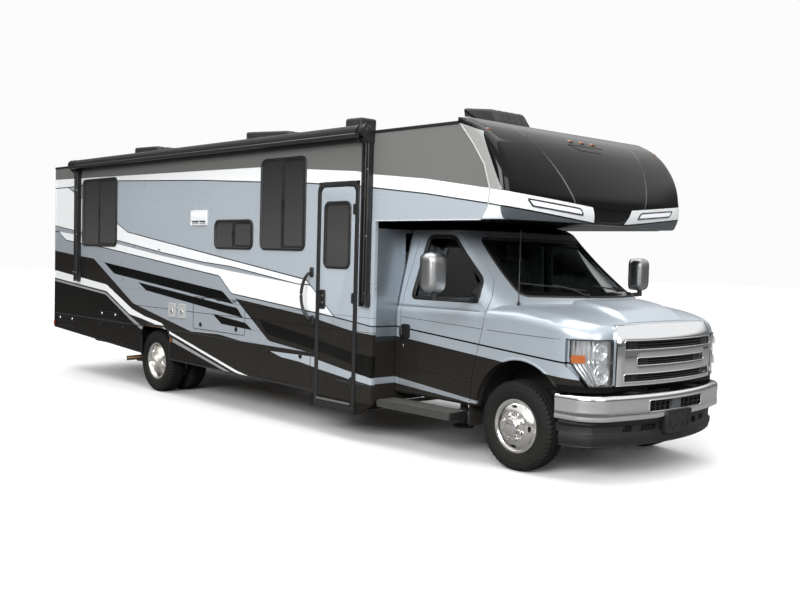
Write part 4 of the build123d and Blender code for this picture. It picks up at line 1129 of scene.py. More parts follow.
def cabVolume(inset, runOut=0.0):
    s = cabSizes
    rear, low = s["rear"] - runOut, s["low"] - runOut
    xs = [s["rear"] + (0.735 - s["rear"]) * i / 84 for i in range(85)]
    rows = []
    for i, x in enumerate(xs):
        half, edge, crown = blendTable(bodyTable, x)
        place = rear if i == 0 else x - inset * i / 84
        row = bodyRow(x, half - inset, edge - inset, crown - inset, low, s["panelLift"])
        rows.append([(place, y, z) for _, y, z in row])
    body = capped(grid(rows), 150)
    rows = []
    start = 1.28 - (inset + 0.06 if inset > 0 else 0)
    for i in range(37):
        half, cornerX, middleX = blendTable(houseTable, start + (cabSizes["roof"] - start) * i / 36)
        z = start + (cabSizes["roof"] - inset - start) * i / 36
        rows.append(houseRow(z, half - inset, cornerX - inset, middleX - 1.8 * inset, rear))
    house = capped(grid(rows), 170)
    return body, house


def cabObject(name, inset, runOut=0.0, materials=()):
    body, house = cabVolume(inset, runOut)
    obj = newObject(name, body, materials)
    cut(obj, house, "UNION")
    return obj


def copied(obj, name):
    new = bpy.data.objects.new(name, obj.data.copy())
    bpy.context.scene.collection.objects.link(new)
    return new


def cutObject(obj, other, operation="DIFFERENCE"):
    step = obj.modifiers.new("cut", "BOOLEAN")
    step.operation = operation
    step.solver = "EXACT"
    step.object = other
    applyModifiers(obj)


def insetOutline(points, amount):                # moves each side of an outline inwards
    count = len(points)
    area = sum(points[i][0] * points[(i + 1) % count][1] - points[(i + 1) % count][0] * points[i][1]
               for i in range(count))
    sign = 1 if area > 0 else -1
    moved2 = []
    for i in range(count):
        p0, p1, p2 = Vector(points[i - 1]), Vector(points[i]), Vector(points[(i + 1) % count])
        n1 = Vector((-(p1 - p0).y, (p1 - p0).x)).normalized() * sign
        n2 = Vector((-(p2 - p1).y, (p2 - p1).x)).normalized() * sign
        middle = (n1 + n2)
        middle = middle * (2 / middle.length_squared)
        moved2.append(tuple(p1 + middle * amount))
    return moved2


def roundedOutline(points, radius, steps=6):     # an outline with its corners rounded
    line = []
    count = len(points)
    for i in range(count):
        p0, p1, p2 = Vector(points[i - 1]), Vector(points[i]), Vector(points[(i + 1) % count])
        a, b = (p0 - p1), (p2 - p1)
        r = min(radius, a.length * 0.45, b.length * 0.45)
        start, end = p1 + a.normalized() * r, p1 + b.normalized() * r
        for k in range(steps + 1):
            t = k / steps
            line.append(tuple((1 - t) ** 2 * start + 2 * t * (1 - t) * p1 + t * t * end))
    return line


def skinTree(obj):
    mesh = obj.data
    tool = bmesh.new()
    tool.from_mesh(mesh)
    bmesh.ops.triangulate(tool, faces=tool.faces)
    tool.normal_update()
    tree = BVHTree.FromBMesh(tool)
    tool.verts.ensure_lookup_table()
    tool.faces.ensure_lookup_table()
    corners = [[(v.co.copy(), v.normal.copy()) for v in face.verts] for face in tool.faces]
    tool.free()
    return tree, corners


def borrowNormals(obj, skins, reach=0.004, limit=40):
    mesh = obj.data
    mesh.shade_smooth()
    cosLimit = math.cos(math.radians(limit))
    normals = [None] * len(mesh.loops)
    for face in mesh.polygons:
        tree, corners = min(skins, key=lambda skin: skin[0].find_nearest(face.center)[3])
        for k in face.loop_indices:
            point = mesh.vertices[mesh.loops[k].vertex_index].co
            normals[k] = face.normal
            near, flat, index, distance = tree.find_nearest(point)
            if index is None or distance > reach or abs(flat.dot(face.normal)) < cosLimit:
                continue
            (a, na), (b, nb), (c, nc) = corners[index]
            smooth = weightedNormal(near, a, b, c, na, nb, nc)
            normals[k] = smooth if smooth.dot(face.normal) > 0 else -smooth
    mesh.normals_split_custom_set([tuple(n) for n in normals])


def weightedNormal(point, a, b, c, na, nb, nc):
    v0, v1, v2 = b - a, c - a, point - a
    d00, d01, d11, d20, d21 = v0.dot(v0), v0.dot(v1), v1.dot(v1), v2.dot(v0), v2.dot(v1)
    base = d00 * d11 - d01 * d01
    if abs(base) < 1e-16:
        return na.copy()
    wb, wc = (d11 * d20 - d01 * d21) / base, (d00 * d21 - d01 * d20) / base
    return ((1 - wb - wc) * na + wb * nb + wc * nc).normalized()


def rode(obj, body, replaced=()):
    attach(obj, body)
    if replaced:
        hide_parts(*replaced)


def makeCab(s):
    outer = cabObject("cabOuter", 0.0, 0.0, [mats["cabPaint"]])
    outer.data.shade_smooth()
    skin = skinTree(outer)
    bodyOnly, houseOnly = [newObject(name, shape, []) for name, shape in zip(("bodyOnly", "houseOnly"),
                                                                             cabVolume(0.0))]
    skins = [skinTree(bodyOnly), skinTree(houseOnly)]
    cabInner = cabObject("cabInner", s["skin"], 0.4)
    doorInner = cabObject("doorInner", s["doorSkin"], 0.4)
    hoodInner = cabObject("hoodInner", s["hoodSkin"], 0.4)
    shell = copied(outer, "cabShell")
    cutObject(shell, cabInner)
    flat = box(-1.446, -0.29, -0.94, 0.94, 0.70, 0.74)
    wall = box(-0.3, -0.27, -0.94, 0.94, 0.70, 1.3)
    cut(shell, joined(flat), "UNION")
    cut(shell, joined(wall), "UNION")
    hole = roundedOutline(doorOutline, 0.05)
    cut(shell, joined(prism(hole, "y", -1.1, -0.768), prism(hole, "y", 0.768, 1.1)))
    turns = [math.radians(4 * i) for i in range(90)]
    ring = [(s["archX"] + s["archRadius"] * math.cos(t),
             s["archZ"] + s["archRadius"] * math.sin(t)) for t in turns]
    wide = [(s["archX"] + s["spaceRadius"] * math.cos(t),
             s["archZ"] + s["spaceRadius"] * math.sin(t)) for t in turns]
    cut(shell, joined(prism(ring, "y", 0.49, 1.2), prism(ring, "y", -1.2, -0.49)))
    cut(shell, joined(prism(wide, "y", 0.485, 0.938), prism(wide, "y", -0.938, -0.485)))
    cut(shell, box(0.38, 1.0, -1.1, 1.1, 0, 0.715))
    for sign in (1, -1):
        pocket = newObject("pocket", prism([(x, sign * y) for x, y in lampOutline], "z", 0.76, 1.13), [])
        corner = [(-sign * 1.06, 0.958), (-sign * 1.003, 0.958), (-sign * 0.905, 0.757),
                  (-sign * 0.905, 0.74), (-sign * 1.06, 0.74)]
        cut(pocket, prism(corner, "x", 0.4, 0.9))
        cutObject(shell, pocket)
        bpy.data.meshes.remove(pocket.data)
    cut(shell, prism(hoodOutline, "z", 1.08, 1.46))
    cut(shell, prism(roundedOutline(screenOutline, 0.05), "x", -0.9, 0.35))
    borrowNormals(shell, skins)
    rode(shell, "chassis", ["cab_shell"])
    hood = copied(outer, "hoodPanel")
    cutObject(hood, hoodInner)
    cut(hood, prism(insetOutline(hoodOutline, s["gap"]), "z", 1.08, 1.46), "INTERSECT")
    borrowNormals(hood, skins)
    rode(hood, "hood", ["hood"])
    door = copied(outer, "cabDoorRight")
    cutObject(door, doorInner)
    cut(door, prism(roundedOutline(insetOutline(doorOutline, s["gap"]), 0.045), "y", -1.1, -0.768),
        "INTERSECT")
    cut(door, prism(roundedOutline(doorWindow, 0.06), "y", -1.1, -0.768))
    cut(door, box(-0.43, -0.3, -0.908, -0.7, 1.15, 1.42))
    left = copied(door, "cabDoorLeft")
    for vertex in left.data.vertices:
        vertex.co.y = -vertex.co.y
    left.data.flip_normals()
    for obj, body in ((door, "door_right"), (left, "door_left")):
        borrowNormals(obj, skins)
        rode(obj, body, ["cab_" + body])
    for obj in (cabInner, doorInner, hoodInner, outer, bodyOnly, houseOnly):
        bpy.data.meshes.remove(obj.data)
    return skin


cabSkin = makeCab(cabSizes)
print("cab panels made")


def onSide(x, z, skin, sign=-1, out=0.0):        # the point of a skin at a side view's x and z
    start = Vector((x + frontX, sign * 3.0, z))
    hit, normal, _, _ = skin[0].ray_cast(start, Vector((0, -sign, 0)))
    if hit is None:
        hit, normal, _, _ = skin[0].find_nearest(Vector((x + frontX, sign * 1.0, z)))
    if normal.y * sign < 0:
        normal = -normal
    return hit + normal * out - Vector((frontX, 0, 0))


def onFront(y, z, skin, out=0.0):                # the point of a skin at a front view's y and z
    hit, normal, _, _ = skin[0].ray_cast(Vector((3.0 + frontX, y, z)), Vector((-1, 0, 0)))
    if normal.x < 0:
        normal = -normal
    return hit + normal * out - Vector((frontX, 0, 0))


def finePath(outline, step, closed=True):
    points = []
    count = len(outline)
    for i in range(count if closed else count - 1):
        a, b = Vector(outline[i]), Vector(outline[(i + 1) % count])
        parts = max(1, int((b - a).length / step))
        points += [a.lerp(b, k / parts) for k in range(parts)]
    return points if closed else points + [Vector(outline[-1])]


cabTrim = {"seal": 0.009}


def doorTrim(sign, s):
    shapes = []
    window = roundedOutline(doorWindow, 0.06, 5)
    loop = [onSide(x, z, cabSkin, sign, -0.001) for x, z in finePath(insetOutline(window, -0.002), 0.03)]
    shapes.append(tube(loop, s["seal"], 8, 0, closed=True))
    inner = [onSide(x, z, cabSkin, sign, -0.012) for x, z in finePath(insetOutline(window, 0.012), 0.03)]
    shapes.append(tube(inner, 0.011, 8, 0, closed=True))
    # painted shade: a thin dark tube along the door's crease stands for the shade in it
    creaseShadeLine = [(-1.376, 1.178), (-1.1, 1.167), (-0.9, 1.159), (-0.6, 1.148), (-0.372, 1.138)]
    shapes.append(tube([onSide(x, z, cabSkin, sign, -0.001) for x, z in finePath(creaseShadeLine, 0.05, False)],
                       0.0025, 6, 0))
    lower = [(-1.376, 0.752), (-1.0, 0.722), (-0.6, 0.690), (-0.482, 0.681)]
    shapes.append(tube([onSide(x, z, cabSkin, sign, -0.005) for x, z in finePath(lower, 0.05, False)], 0.010,
                       8, 1))
    plate = roundedRect(-1.358, -1.252, 0.985, 1.115, 0.02)
    shapes.append(prism(plate, "y", sign * 1.0, sign * 1.006, 2))
    grip = [(-1.338, sign * 1.006, 1.10), (-1.338, sign * 1.038, 1.09), (-1.338, sign * 1.042, 1.05),
            (-1.338, sign * 1.038, 1.01), (-1.338, sign * 1.006, 1.0)]
    shapes.append(tube(smoothPath(grip, 5), 0.011, 10, 2))
    shapes.append(lathe([(0, 0.016), (sign * 0.004, 0.016), (sign * 0.006, 0.012), (sign * 0.006, 0)], 20,
                        (-1.341, sign * 1.0, 0.913), 3, close=False))
    foot = [(-0.61, 1.352), (-0.452, 1.346), (-0.462, 1.545), (-0.5, 1.5)]
    plate = [onSide(x, z, cabSkin, sign, 0.004) for x, z in finePath(roundedOutline(foot, 0.02, 3), 0.03)]
    back = [p + Vector((0, -sign * 0.026, 0)) for p in plate]
    shapes.append(capped(grid([plate, back], mat=0), len(plate), 0))
    return joined(*shapes)


def mirrorShape(sign):
    path = [(-0.52, sign * 0.955, 1.40), (-0.50, sign * 1.06, 1.392), (-0.48, sign * 1.2, 1.396),
            (-0.48, sign * 1.38, 1.4), (-0.48, sign * 1.45, 1.402)]
    arm = tube(smoothPath(path, 5), 0.021, 12, 1)
    pod = tube(smoothPath([(-0.53, sign * 0.948, 1.385), (-0.525, sign * 0.985, 1.39),
                           (-0.515, sign * 1.02, 1.395)], 4),
               [0.045, 0.045, 0.043, 0.042, 0.04, 0.038, 0.034, 0.03, 0.024], 14, 1)
    neck = tube([(-0.48, sign * 1.47, 1.385), (-0.48, sign * 1.47, 1.455)], 0.024, 14, 1)
    rows = []
    stations = [(-0.072, 0.052, 0.10), (-0.071, 0.080, 0.148), (-0.064, 0.088, 0.158), (-0.02, 0.094, 0.1645),
                (0.028, 0.093, 0.162), (0.054, 0.084, 0.150), (0.069, 0.064, 0.125), (0.072, 0.03, 0.06)]
    for x, w, h in stations[::-1]:
        outline = roundedRect(-w, w, -h, h, min(0.062, w * 0.66), 7)
        rows.append([(mirrorX + x, sign * 1.47 + y, 1.605 + z) for y, z in outline])
    shell = capped(grid(rows, mat=0), len(rows[0]), 0)
    glass = prism([(sign * 1.47 + y, 1.605 + z) for y, z in roundedRect(-0.078, 0.078, -0.148, 0.148, 0.045)],
                  "x", mirrorX - 0.0745, mirrorX - 0.0715, 2)
    rim = [(mirrorX - 0.0725, sign * 1.47 + y, 1.605 + z) for y, z in roundedRect(-0.084, 0.084, -0.154,
                                                                                  0.154, 0.05)]
    return joined(shell, glass, tube(rim, 0.005, 6, 1, closed=True), arm, pod, neck)


mirrorX = -0.488
for side, sign in (("right", -1), ("left", 1)):
    piece("doorTrim" + side.title(), doorTrim(sign, cabTrim), [mats["seal"], mats["cabPaint"], mats["satin"],
          mats["chrome"]], "door_" + side)
    piece("sideMirror" + side.title(), mirrorShape(sign), [mats["alloy"], mats["satin"], mats["mirror"]],
          "door_" + side, ["mirror_" + side], angle=50)


def archLip(sign):
    turns = [math.radians(-6 + 4 * i) for i in range(49)]
    rows = []
    for t in turns:
        row = []
        for r, out in ((0.463, -0.03), (0.463, -0.004), (0.4645, 0.001), (0.468, 0.0035), (0.476, 0.0035),
                       (0.484, 0.001), (0.490, -0.003)):
            x, z = cabSizes["archX"] + r * math.cos(t), cabSizes["archZ"] + r * math.sin(t)
            p = onSide(min(x, 0.56), max(z, 0.485), cabSkin, sign)
            row.append((x, p.y + sign * out, z))
        rows.append(row)
    return grid([row for row in rows if row[2][2] > (0.715 if row[2][0] > 0.3 else 0.48)], closeRow=False)


def fenderTrim(sign):
    # painted shade: a thin dark tube along the fender's crease stands for the shade in it
    creaseShadeLine = [(-0.318, 1.136), (-0.1, 1.13), (0.1, 1.125), (0.3, 1.122), (0.44, 1.12)]
    shapes = [tube([onSide(x, z, cabSkin, sign, -0.001) for x, z in finePath(creaseShadeLine, 0.05, False)], 0.0025, 6,
                   1)]
    back = [(-1.44, 0.757), (-1.392, 0.754)]
    shapes.append(tube([onSide(x, z, cabSkin, sign, -0.005) for x, z in back], 0.010, 8))
    sill = [onSide(x, 0.5, cabSkin, sign, -0.004) for x in (-1.44, -1.2, -1.0, -0.8, -0.6, -0.48)]
    shapes.append(tube(sill, 0.012, 8))
    shapes.append(archLip(sign))
    return joined(*shapes)


piece("fenderTrim", joined(fenderTrim(-1), fenderTrim(1)), [mats["cabPaint"], mats["seal"]],
      angle=50)


def linerShape(sign):
    turns = [math.radians(-10 + 5 * i) for i in range(41)]
    rows = []
    for t in turns:
        row = []
        for y, r in ((0.975, 0.458), (0.93, 0.462), (0.925, 0.525), (0.8, 0.527), (0.7, 0.528), (0.6, 0.527),
                     (0.5, 0.52), (0.492, 0.36), (0.49, 0.2)):
            ripple = 0.003 * math.cos(10 * t) if 0.5 < y < 0.9 else 0
            x, z = cabSizes["archX"] + (r - ripple) * math.cos(t), cabSizes["archZ"] + (r
                - ripple) * math.sin(t)
            row.append((min(x, 0.7), sign * y, max(z, 0.485)))
        rows.append(row)
    return grid(rows, closeRow=False)


piece("wheelLiners", joined(linerShape(-1), linerShape(1)), mats["liner"], angle=50)


# windscreen surround, wipers and aerial
def screenParts():
    edge = roundedOutline(screenOutline, 0.05, 5)
    loop = [onFront(y, z, cabSkin, -0.002) for y, z in finePath(edge, 0.05)]
    shapes = [tube(loop, 0.013, 8, 0, closed=True)]
    band = finePath(edge, 0.04)
    rows = [[onFront(y, z, cabSkin, -0.0075) for y, z in band],
            [onFront(y, z, cabSkin, -0.0085) for y, z in finePathInset(band, 0.045)]]
    shapes.append(grid(rows, mat=1))
    return joined(*shapes)


def finePathInset(points, amount):
    return insetOutline([tuple(p) for p in points], amount)


piece("screenSeal", screenParts(), [mats["seal"], mats["gloss"]], angle=50)


def wiper(foot, tip, bladeFrom, bladeTo):
    p0, p1 = onFront(*foot, cabSkin, 0.012), onFront(*tip, cabSkin, 0.02)
    arm = tube(smoothPath([p0, (p0 + p1) / 2 + Vector((0.012, 0, 0.012)), p1], 6), 0.007, 8)
    blade = [onFront(bladeFrom[0] + (bladeTo[0] - bladeFrom[0]) * k / 12,
                     bladeFrom[1] + (bladeTo[1] - bladeFrom[1]) * k / 12,
                     cabSkin, 0.008) for k in range(13)]
    top = tube([p + Vector((0.008, 0, 0.004)) for p in blade], 0.0055, 8)
    hub = lathe([(-0.012, 0), (-0.012, 0.018), (0.012, 0.02), (0.014, 0)], 20, tuple(p0), close=False)
    return joined(arm, tube(blade, 0.004, 6), top, hub)


def aerial(x, y):
    rows = []
    for z, r in ((1.335, 0.016), (1.365, 0.016), (1.372, 0.010), (1.39, 0.007), (1.395, 0.0045),
                 (1.7, 0.0035), (1.96, 0.002), (1.962, 0.0045), (1.97, 0.0045), (1.972, 0.0)):
        rows.append([(x + r * math.cos(2 * math.pi * k / 10), y + r * math.sin(2 * math.pi * k / 10), z)
                     for k in range(10)])
    return capped(grid(rows), 10)


piece("wipers", joined(wiper((-0.295, 1.427), (-0.50, 1.505), (-0.712, 1.521), (-0.25, 1.468)),
                       wiper((0.36, 1.435), (0.153, 1.49), (-0.10, 1.505), (0.33, 1.462))), mats["satin"])
piece("aerial", aerial(-0.10, -0.86), mats["satin"])
print("cab trim made")


# headlamps: the lens follows the front of the wing, with its lower outer corner cut off
lampSizes = {"low": 0.763, "high": 1.128, "depth": 0.05}
lampCurve = smoothPath([(0.757, 0.706, 0), (0.736, 0.78, 0), (0.706, 0.85, 0), (0.66, 0.912, 0),
                        (0.6, 0.962, 0), (0.545, 1.0, 0)], 8)


def lampPoint(t, z, sink, sign):
    k = min(max(t, 0), 1) * (len(lampCurve) - 1)
    i = min(int(k), len(lampCurve) - 2)
    p = lampCurve[i].lerp(lampCurve[i + 1], k - i)
    along = (lampCurve[i + 1] - lampCurve[i]).normalized()
    out = Vector((along.y, -along.x, 0))
    p = p - out * sink
    return Vector((p.x, sign * p.y, z))


def lampEdge(z, s):                              # how far out the lamp reaches at a height
    k = (z - s["low"]) / (s["high"] - s["low"])
    return 0.58 + 0.42 * min(k / 0.52, 1.0)


def lampOutlinePoints(s, inset=0.0):
    low, high = s["low"] + inset, s["high"] - inset
    path = [(0.02 + inset * 3, low), (lampEdge(low, s) - inset * 3, low)]
    path += [(lampEdge(low + (high - low) * k / 10, s) - inset * 3,
              low + (high - low) * k / 10) for k in range(1, 10)]
    path += [(1.0 - inset * 3, high), (0.02 + inset * 3, high)]
    return finePath(roundedOutline(path, 0.02, 4), 0.05)


def headlamp(sign, s):
    outer, inner = lampOutlinePoints(s), lampOutlinePoints(s, 0.008)
    rings = [[lampPoint(p[0], p[1], d, sign) for p in line]
             for line, d in ((outer, s["depth"]), (outer, 0.004), (inner, -0.001), (inner, 0.012))]
    case = grid(rings, mat=0)
    back = [lampPoint(p[0], p[1], s["depth"], sign) for p in outer]
    floorPanel = (back, [tuple(range(len(back)))], [1])
    rows = []
    for j in range(13):
        z = s["low"] + 0.004 + (s["high"] - s["low"] - 0.008) * j / 12
        reach = lampEdge(z, s)
        rows.append([lampPoint(0.03 + (reach - 0.045) * i / 20, z, 0.036 + 0.004 * math.cos(math.pi * i)
                               * (0.35 < i / 20), sign) for i in range(21)])
    mirrorPanel = grid(rows, closeRow=False, mat=1)
    bowls = []
    for t, z, radius in ((0.30, 0.862, 0.078), (0.34, 1.035, 0.070)):
        centre = lampPoint(t, z, 0.006, sign)
        ahead = lampPoint(t, z, -0.1, sign)
        axis = (ahead - centre).normalized().lerp(Vector((1, 0, 0)), 0.6).normalized()
        turn = Vector((0, 1, 0)).rotation_difference(axis).to_matrix().to_4x4()
        profile = [(0.0, radius), (-0.004, radius + 0.003), (-0.008, radius - 0.004), (-0.022, radius * 0.82),
                   (-0.034, radius * 0.55), (-0.04, radius * 0.25), (-0.04, 0.0)]
        bowls.append(moved(lathe(profile, 40, mat=1, close=False), Matrix.Translation(centre) @ turn))
        bulb = [(-0.036, 0.0), (-0.036, 0.014), (-0.012, 0.014), (-0.002, 0.011), (0.004, 0.0)]
        bowls.append(moved(lathe(bulb, 20, mat=3, close=False), Matrix.Translation(centre) @ turn))
        ring = [(-0.006, radius * 0.46), (-0.002, radius * 0.5), (-0.006, radius * 0.54),
                (-0.012, radius * 0.5)]
        bowls.append(moved(lathe(ring, 40, mat=1), Matrix.Translation(centre) @ turn))
    rows = [[lampPoint(0.66 + 0.3 * i / 10, z, d, sign) for i in range(11)]
            for z, d in ((0.945, 0.03), (0.945, 0.008), (1.005, 0.008), (1.005, 0.03))]
    amber = grid(rows, closeRows=True, closeRow=False, mat=2)
    shelf = grid([[lampPoint(0.04 + (0.9 - 0.04) * i / 16, z, d, sign) for i in range(17)]
                  for z, d in ((0.944, 0.036), (0.944, 0.008), (0.95, 0.008), (0.95, 0.036))],
                 closeRows=True, closeRow=False, mat=1)
    return joined(case, floorPanel, mirrorPanel, amber, shelf, *bowls)


def lampLens(sign, s):
    rows = []
    count = 24
    for sink in (0.001, 0.0045):
        for j in range(15):
            z = s["low"] + 0.004 + (s["high"] - s["low"] - 0.008) * (j if sink < 0.003 else 14 - j) / 14
            reach = lampEdge(z, s)
            rows.append([lampPoint(0.03 + (reach - 0.04) * i / count, z, sink,
                                   sign) for i in range(count + 1)])
    return grid(rows, closeRows=True, closeRow=False)


piece("headlampCases", joined(headlamp(-1, lampSizes), headlamp(1, lampSizes)),
      [mats["gloss"], mats["lampSilver"], mats["amber"], mats["whiteLens"]],
      replaced=["headlamps"], angle=40)
piece("headlampLenses", joined(lampLens(-1, lampSizes), lampLens(1, lampSizes)), mats["clearLens"],
      angle=60)

# grille: bright surround with three openings, dark slats behind
grilleSizes = {"radius": 2.9, "front": 0.857, "half": 13.75}
grilleProfile = [(0.80, 0.764), (0.852, 0.764), (0.8575, 0.77), (0.8585, 0.80), (0.8612, 0.95),
                 (0.8625, 1.09),
                 (0.860, 1.115), (0.853, 1.137), (0.842, 1.158), (0.74, 1.232), (0.726, 1.238), (0.71, 1.238),
                 (0.700, 1.226), (0.71, 1.213), (0.795, 1.12), (0.80, 1.11)]
grilleSlots = [(0.622, 1.052, 1.118), (0.488, 0.926, 0.982), (0.622, 0.798, 0.856)]


def onGrille(y, x):                              # x is given at the middle, and falls back along the arc
    r = grilleSizes["radius"]
    return x - (r - math.sqrt(r * r - y * y))


def makeGrille(s):
    rows = []
    for i in range(41):
        turn = math.radians(-s["half"] + 2 * s["half"] * i / 40)
        edge = min(1.0, (s["half"] - abs(math.degrees(turn))) / 0.45)
        row = []
        for x, z in grilleProfile:
            r = s["radius"] + x - s["front"] - 0.012 * (1 - edge) ** 2
            fall = r * (1 - math.cos(turn)) * (1 - min(max((z - 1.153) / 0.07, 0), 1))
            row.append((s["front"] - s["radius"] + r - fall, r * math.sin(turn), z))
        rows.append(row)
    obj = newObject("grilleSurround", capped(grid(rows), len(grilleProfile)), [mats["chrome"], mats["gloss"]])
    for half, low, high in grilleSlots:
        cut(obj, prism(roundedRect(-half, half, low, high, 0.012, 3), "x", 0.6, 1.0))
    round2(obj, 0.004, 2, 35)
    inside = []
    for half, low, high in grilleSlots:
        for z in (low + 0.010, (low + high) / 2, high - 0.010):
            rows = []
            for i in range(25):
                y = -half - 0.01 + (2 * half + 0.02) * i / 24
                base = onGrille(y, 0.835)
                rows.append([(base - 0.024, y, z - 0.006), (base, y, z - 0.004), (base + 0.004, y, z),
                             (base, y, z + 0.004), (base - 0.024, y, z + 0.006)])
            inside.append(capped(grid(rows, mat=0), 5, 0))
        for y in [-half + 0.028 * k for k in range(1, int(2 * half / 0.028) + 1)]:
            base = onGrille(y, 0.824)
            wide = 0.011 if abs(y) > half - 0.15 else 0.0022
            inside.append(box(base - 0.012, base + (0.012 if wide > 0.01 else 0), y - wide, y + wide,
                              low - 0.006, high + 0.006, 0))
        rows = [[(onGrille(y, 0.806), y,
                  z) for y in [-half - 0.02 + (2 * half + 0.04) * k / 12 for k in range(13)]]
                for z in (low - 0.02, high + 0.02)]
        inside.append(grid(rows, closeRow=False, mat=1))
        frameLine = [(onGrille(y, 0.862), y, z) for y, z in roundedRect(-half - 0.003, half + 0.003,
                                                                        low - 0.003,
                                                                            high + 0.003, 0.014, 4)]
        fine = finePath(frameLine, 0.05)
        fine = [Vector((onGrille(p.y, 0.8605), p.y, p.z)) for p in fine]
        addMesh(obj, tube(fine, 0.0035, 6, 0, closed=True))
    finishPiece(obj, "chassis", ["grille"], 30)
    piece("grilleSlats", joined(*inside), [mats["blackPlastic"], mats["gloss"]])


makeGrille(grilleSizes)

# front bumper: outer line in plan, then its section as (inwards, height)
bumperPlan = [(0.40, 0.98), (0.50, 0.98), (0.60, 0.979)] + arcThrough((0.62, 0.976), (0.735, 0.9),
                                                                      (0.80, 0.765), 10)
bumperPlan += arcThrough((0.803, 0.75), (0.905, 0), (0.803, -0.75), 48)
bumperPlan += [(x, -y) for x, y in bumperPlan[:14][::-1]]
bumperSection = [(0.038, 0.497), (0.016, 0.497), (0.006, 0.500), (0.0015, 0.507), (0.0, 0.52),
                 (0.0015, 0.545),
                 (0.004, 0.56), (0.0035, 0.60), (0.001, 0.640), (0.0, 0.662), (0.002, 0.676), (0.010, 0.690),
                 (0.020, 0.697), (0.040, 0.701), (0.06, 0.701), (0.06, 0.69), (0.038, 0.685)]
bumperSizes = {"half": 0.385, "low": 0.556, "high": 0.648}


def planNormals(line):
    normals = []
    for i in range(len(line)):
        a, b = Vector(line[max(i - 1, 0)]), Vector(line[min(i + 1, len(line) - 1)])
        along = (b - a).normalized()
        normals.append(Vector((-along.y, along.x)))
    return normals


def sweepPlan(plan, section, mat=0):
    rows = []
    for p, n in zip(plan, planNormals(plan)):
        inward = n if n.x < 0 or (abs(n.x) < 0.1 and n.y * p[1] < 0) else -n
        rows.append([(p[0] + inward.x * d, p[1] + inward.y * d, z) for d, z in section])
    return capped(grid(rows, mat=mat), len(section), mat)


def makeBumper(s):
    obj = newObject("bumperFront", sweepPlan(bumperPlan, bumperSection), [mats["chrome"]])
    cut(obj, prism(roundedRect(-s["half"], s["half"], s["low"], s["high"], 0.016, 4), "x", 0.78, 1.0))
    rim = []
    for y, z in [tuple(p) for p in finePath(roundedRect(-s["half"], s["half"], s["low"], s["high"], 0.016, 4),
                                            0.04)]:
        x = 0.9035 - 0.1005 * (y / 0.75) ** 2
        rim.append((x, y, z))
    addMesh(obj, tube(rim, 0.0055, 8, closed=True))
    finishPiece(obj, "chassis", ["front_bumper"], 32)
    inside = [box(0.80, 0.835, -0.42, 0.42, 0.53, 0.67, 0)]
    inside.append(box(0.85, 0.885, -0.062, 0.062, 0.55, 0.655, 1))
    for k in range(-5, 6):
        if abs(k) > 1:
            inside.append(box(0.836, 0.866, k * 0.07 - 0.004, k * 0.07 + 0.004, 0.54, 0.66, 0))
    inside += [box(0.836, 0.862, -0.41, 0.41, z - 0.003, z + 0.003, 0) for z in (0.585, 0.62)]
    piece("bumperGrille", joined(*inside), [mats["blackPlastic"], mats["greyPlastic"]],
          edge=0.0015, segments=1)


makeBumper(bumperSizes)

# lower valance with slanted slots and a plate carrier
valancePlan = ([(0.43, 0.962), (0.50, 0.957), (0.57, 0.945), (0.635, 0.918)]
               + arcThrough((0.692, 0.878), (0.872, 0), (0.692, -0.878), 56)
               + [(0.635, -0.918), (0.57, -0.945), (0.50, -0.957), (0.43, -0.962)])
valanceSection = [(0.03, 0.49), (0.004, 0.49), (0.001, 0.484), (0.0, 0.47), (0.008, 0.456), (0.016, 0.448),
                  (0.018, 0.40), (0.014, 0.388), (0.002, 0.378), (-0.001, 0.365), (0.004, 0.33),
                  (0.014, 0.298), (0.012, 0.292), (0.016, 0.286), (0.034, 0.286)]


def makeValance():
    obj = newObject("valanceLower", sweepPlan(valancePlan, valanceSection), [mats["valance"], mats["chrome"]])
    slots = []
    for sign in (-1, 1):
        for y0, y1, lean in ((0.225, 0.42, 0.03), (0.50, 0.60, 0.03)):
            line = [(sign * y0, 0.398), (sign * y1, 0.398), (sign * (y1 - lean), 0.446), (sign * y0, 0.446)]
            slots.append(prism(roundedOutline(line, 0.008, 3), "x", 0.7, 1.0))
    for shape in slots:
        cut(obj, shape)
    finishPiece(obj, "chassis", ["bumper_valance"], 32)
    back = sweepPlan([(x - 0.045, y * 0.97) for x, y in valancePlan], [(0.004, 0.46), (0.0, 0.46),
                                                                       (0.0, 0.39), (0.004, 0.39)])
    ribs = [box(0.8 - 0.15 * abs(y / 0.878) ** 2, 0.835 - 0.15 * abs(y / 0.878) ** 2, y - 0.003, y + 0.003,
                0.392, 0.452)
            for y in [k * 0.035 for k in range(-18, 19)] if abs(y) > 0.2]
    piece("valanceMesh", joined(back, *ribs), mats["blackPlastic"])
    carrier = newObject("plateCarrier", joined(prism(roundedRect(-0.178, 0.178, 0.362, 0.548, 0.014, 4), "x",
                                                     0.86, 0.917)), [mats["blackPlastic"]])
    cut(carrier, prism(roundedRect(-0.166, 0.166, 0.374, 0.536, 0.01, 4), "x", 0.911, 0.93))
    holes = [prism(roundedRect(y - w, y + w, z - h, z + h, min(w, h) * 0.9, 4), "x", 0.9, 0.93)
             for y, z, w, h in [(sy * 0.089, 0.455 + sz * 0.0605, 0.012, 0.007) for sy in (-1,
                 1) for sz in (-1, 1)]
             + [(sy * 0.045, 0.515, 0.007, 0.018) for sy in (-1, 1)] + [(sy * 0.13, 0.42, 0.012,
                                                                         0.028) for sy in (-1, 1)]
             + [(sy * 0.05, 0.42, 0.018, 0.008) for sy in (-1, 1)]]
    for shape in holes:
        cut(carrier, shape)
    round2(carrier, 0.002, 2)
    finishPiece(carrier, "chassis", (), 30)


makeValance()
print("front end made")


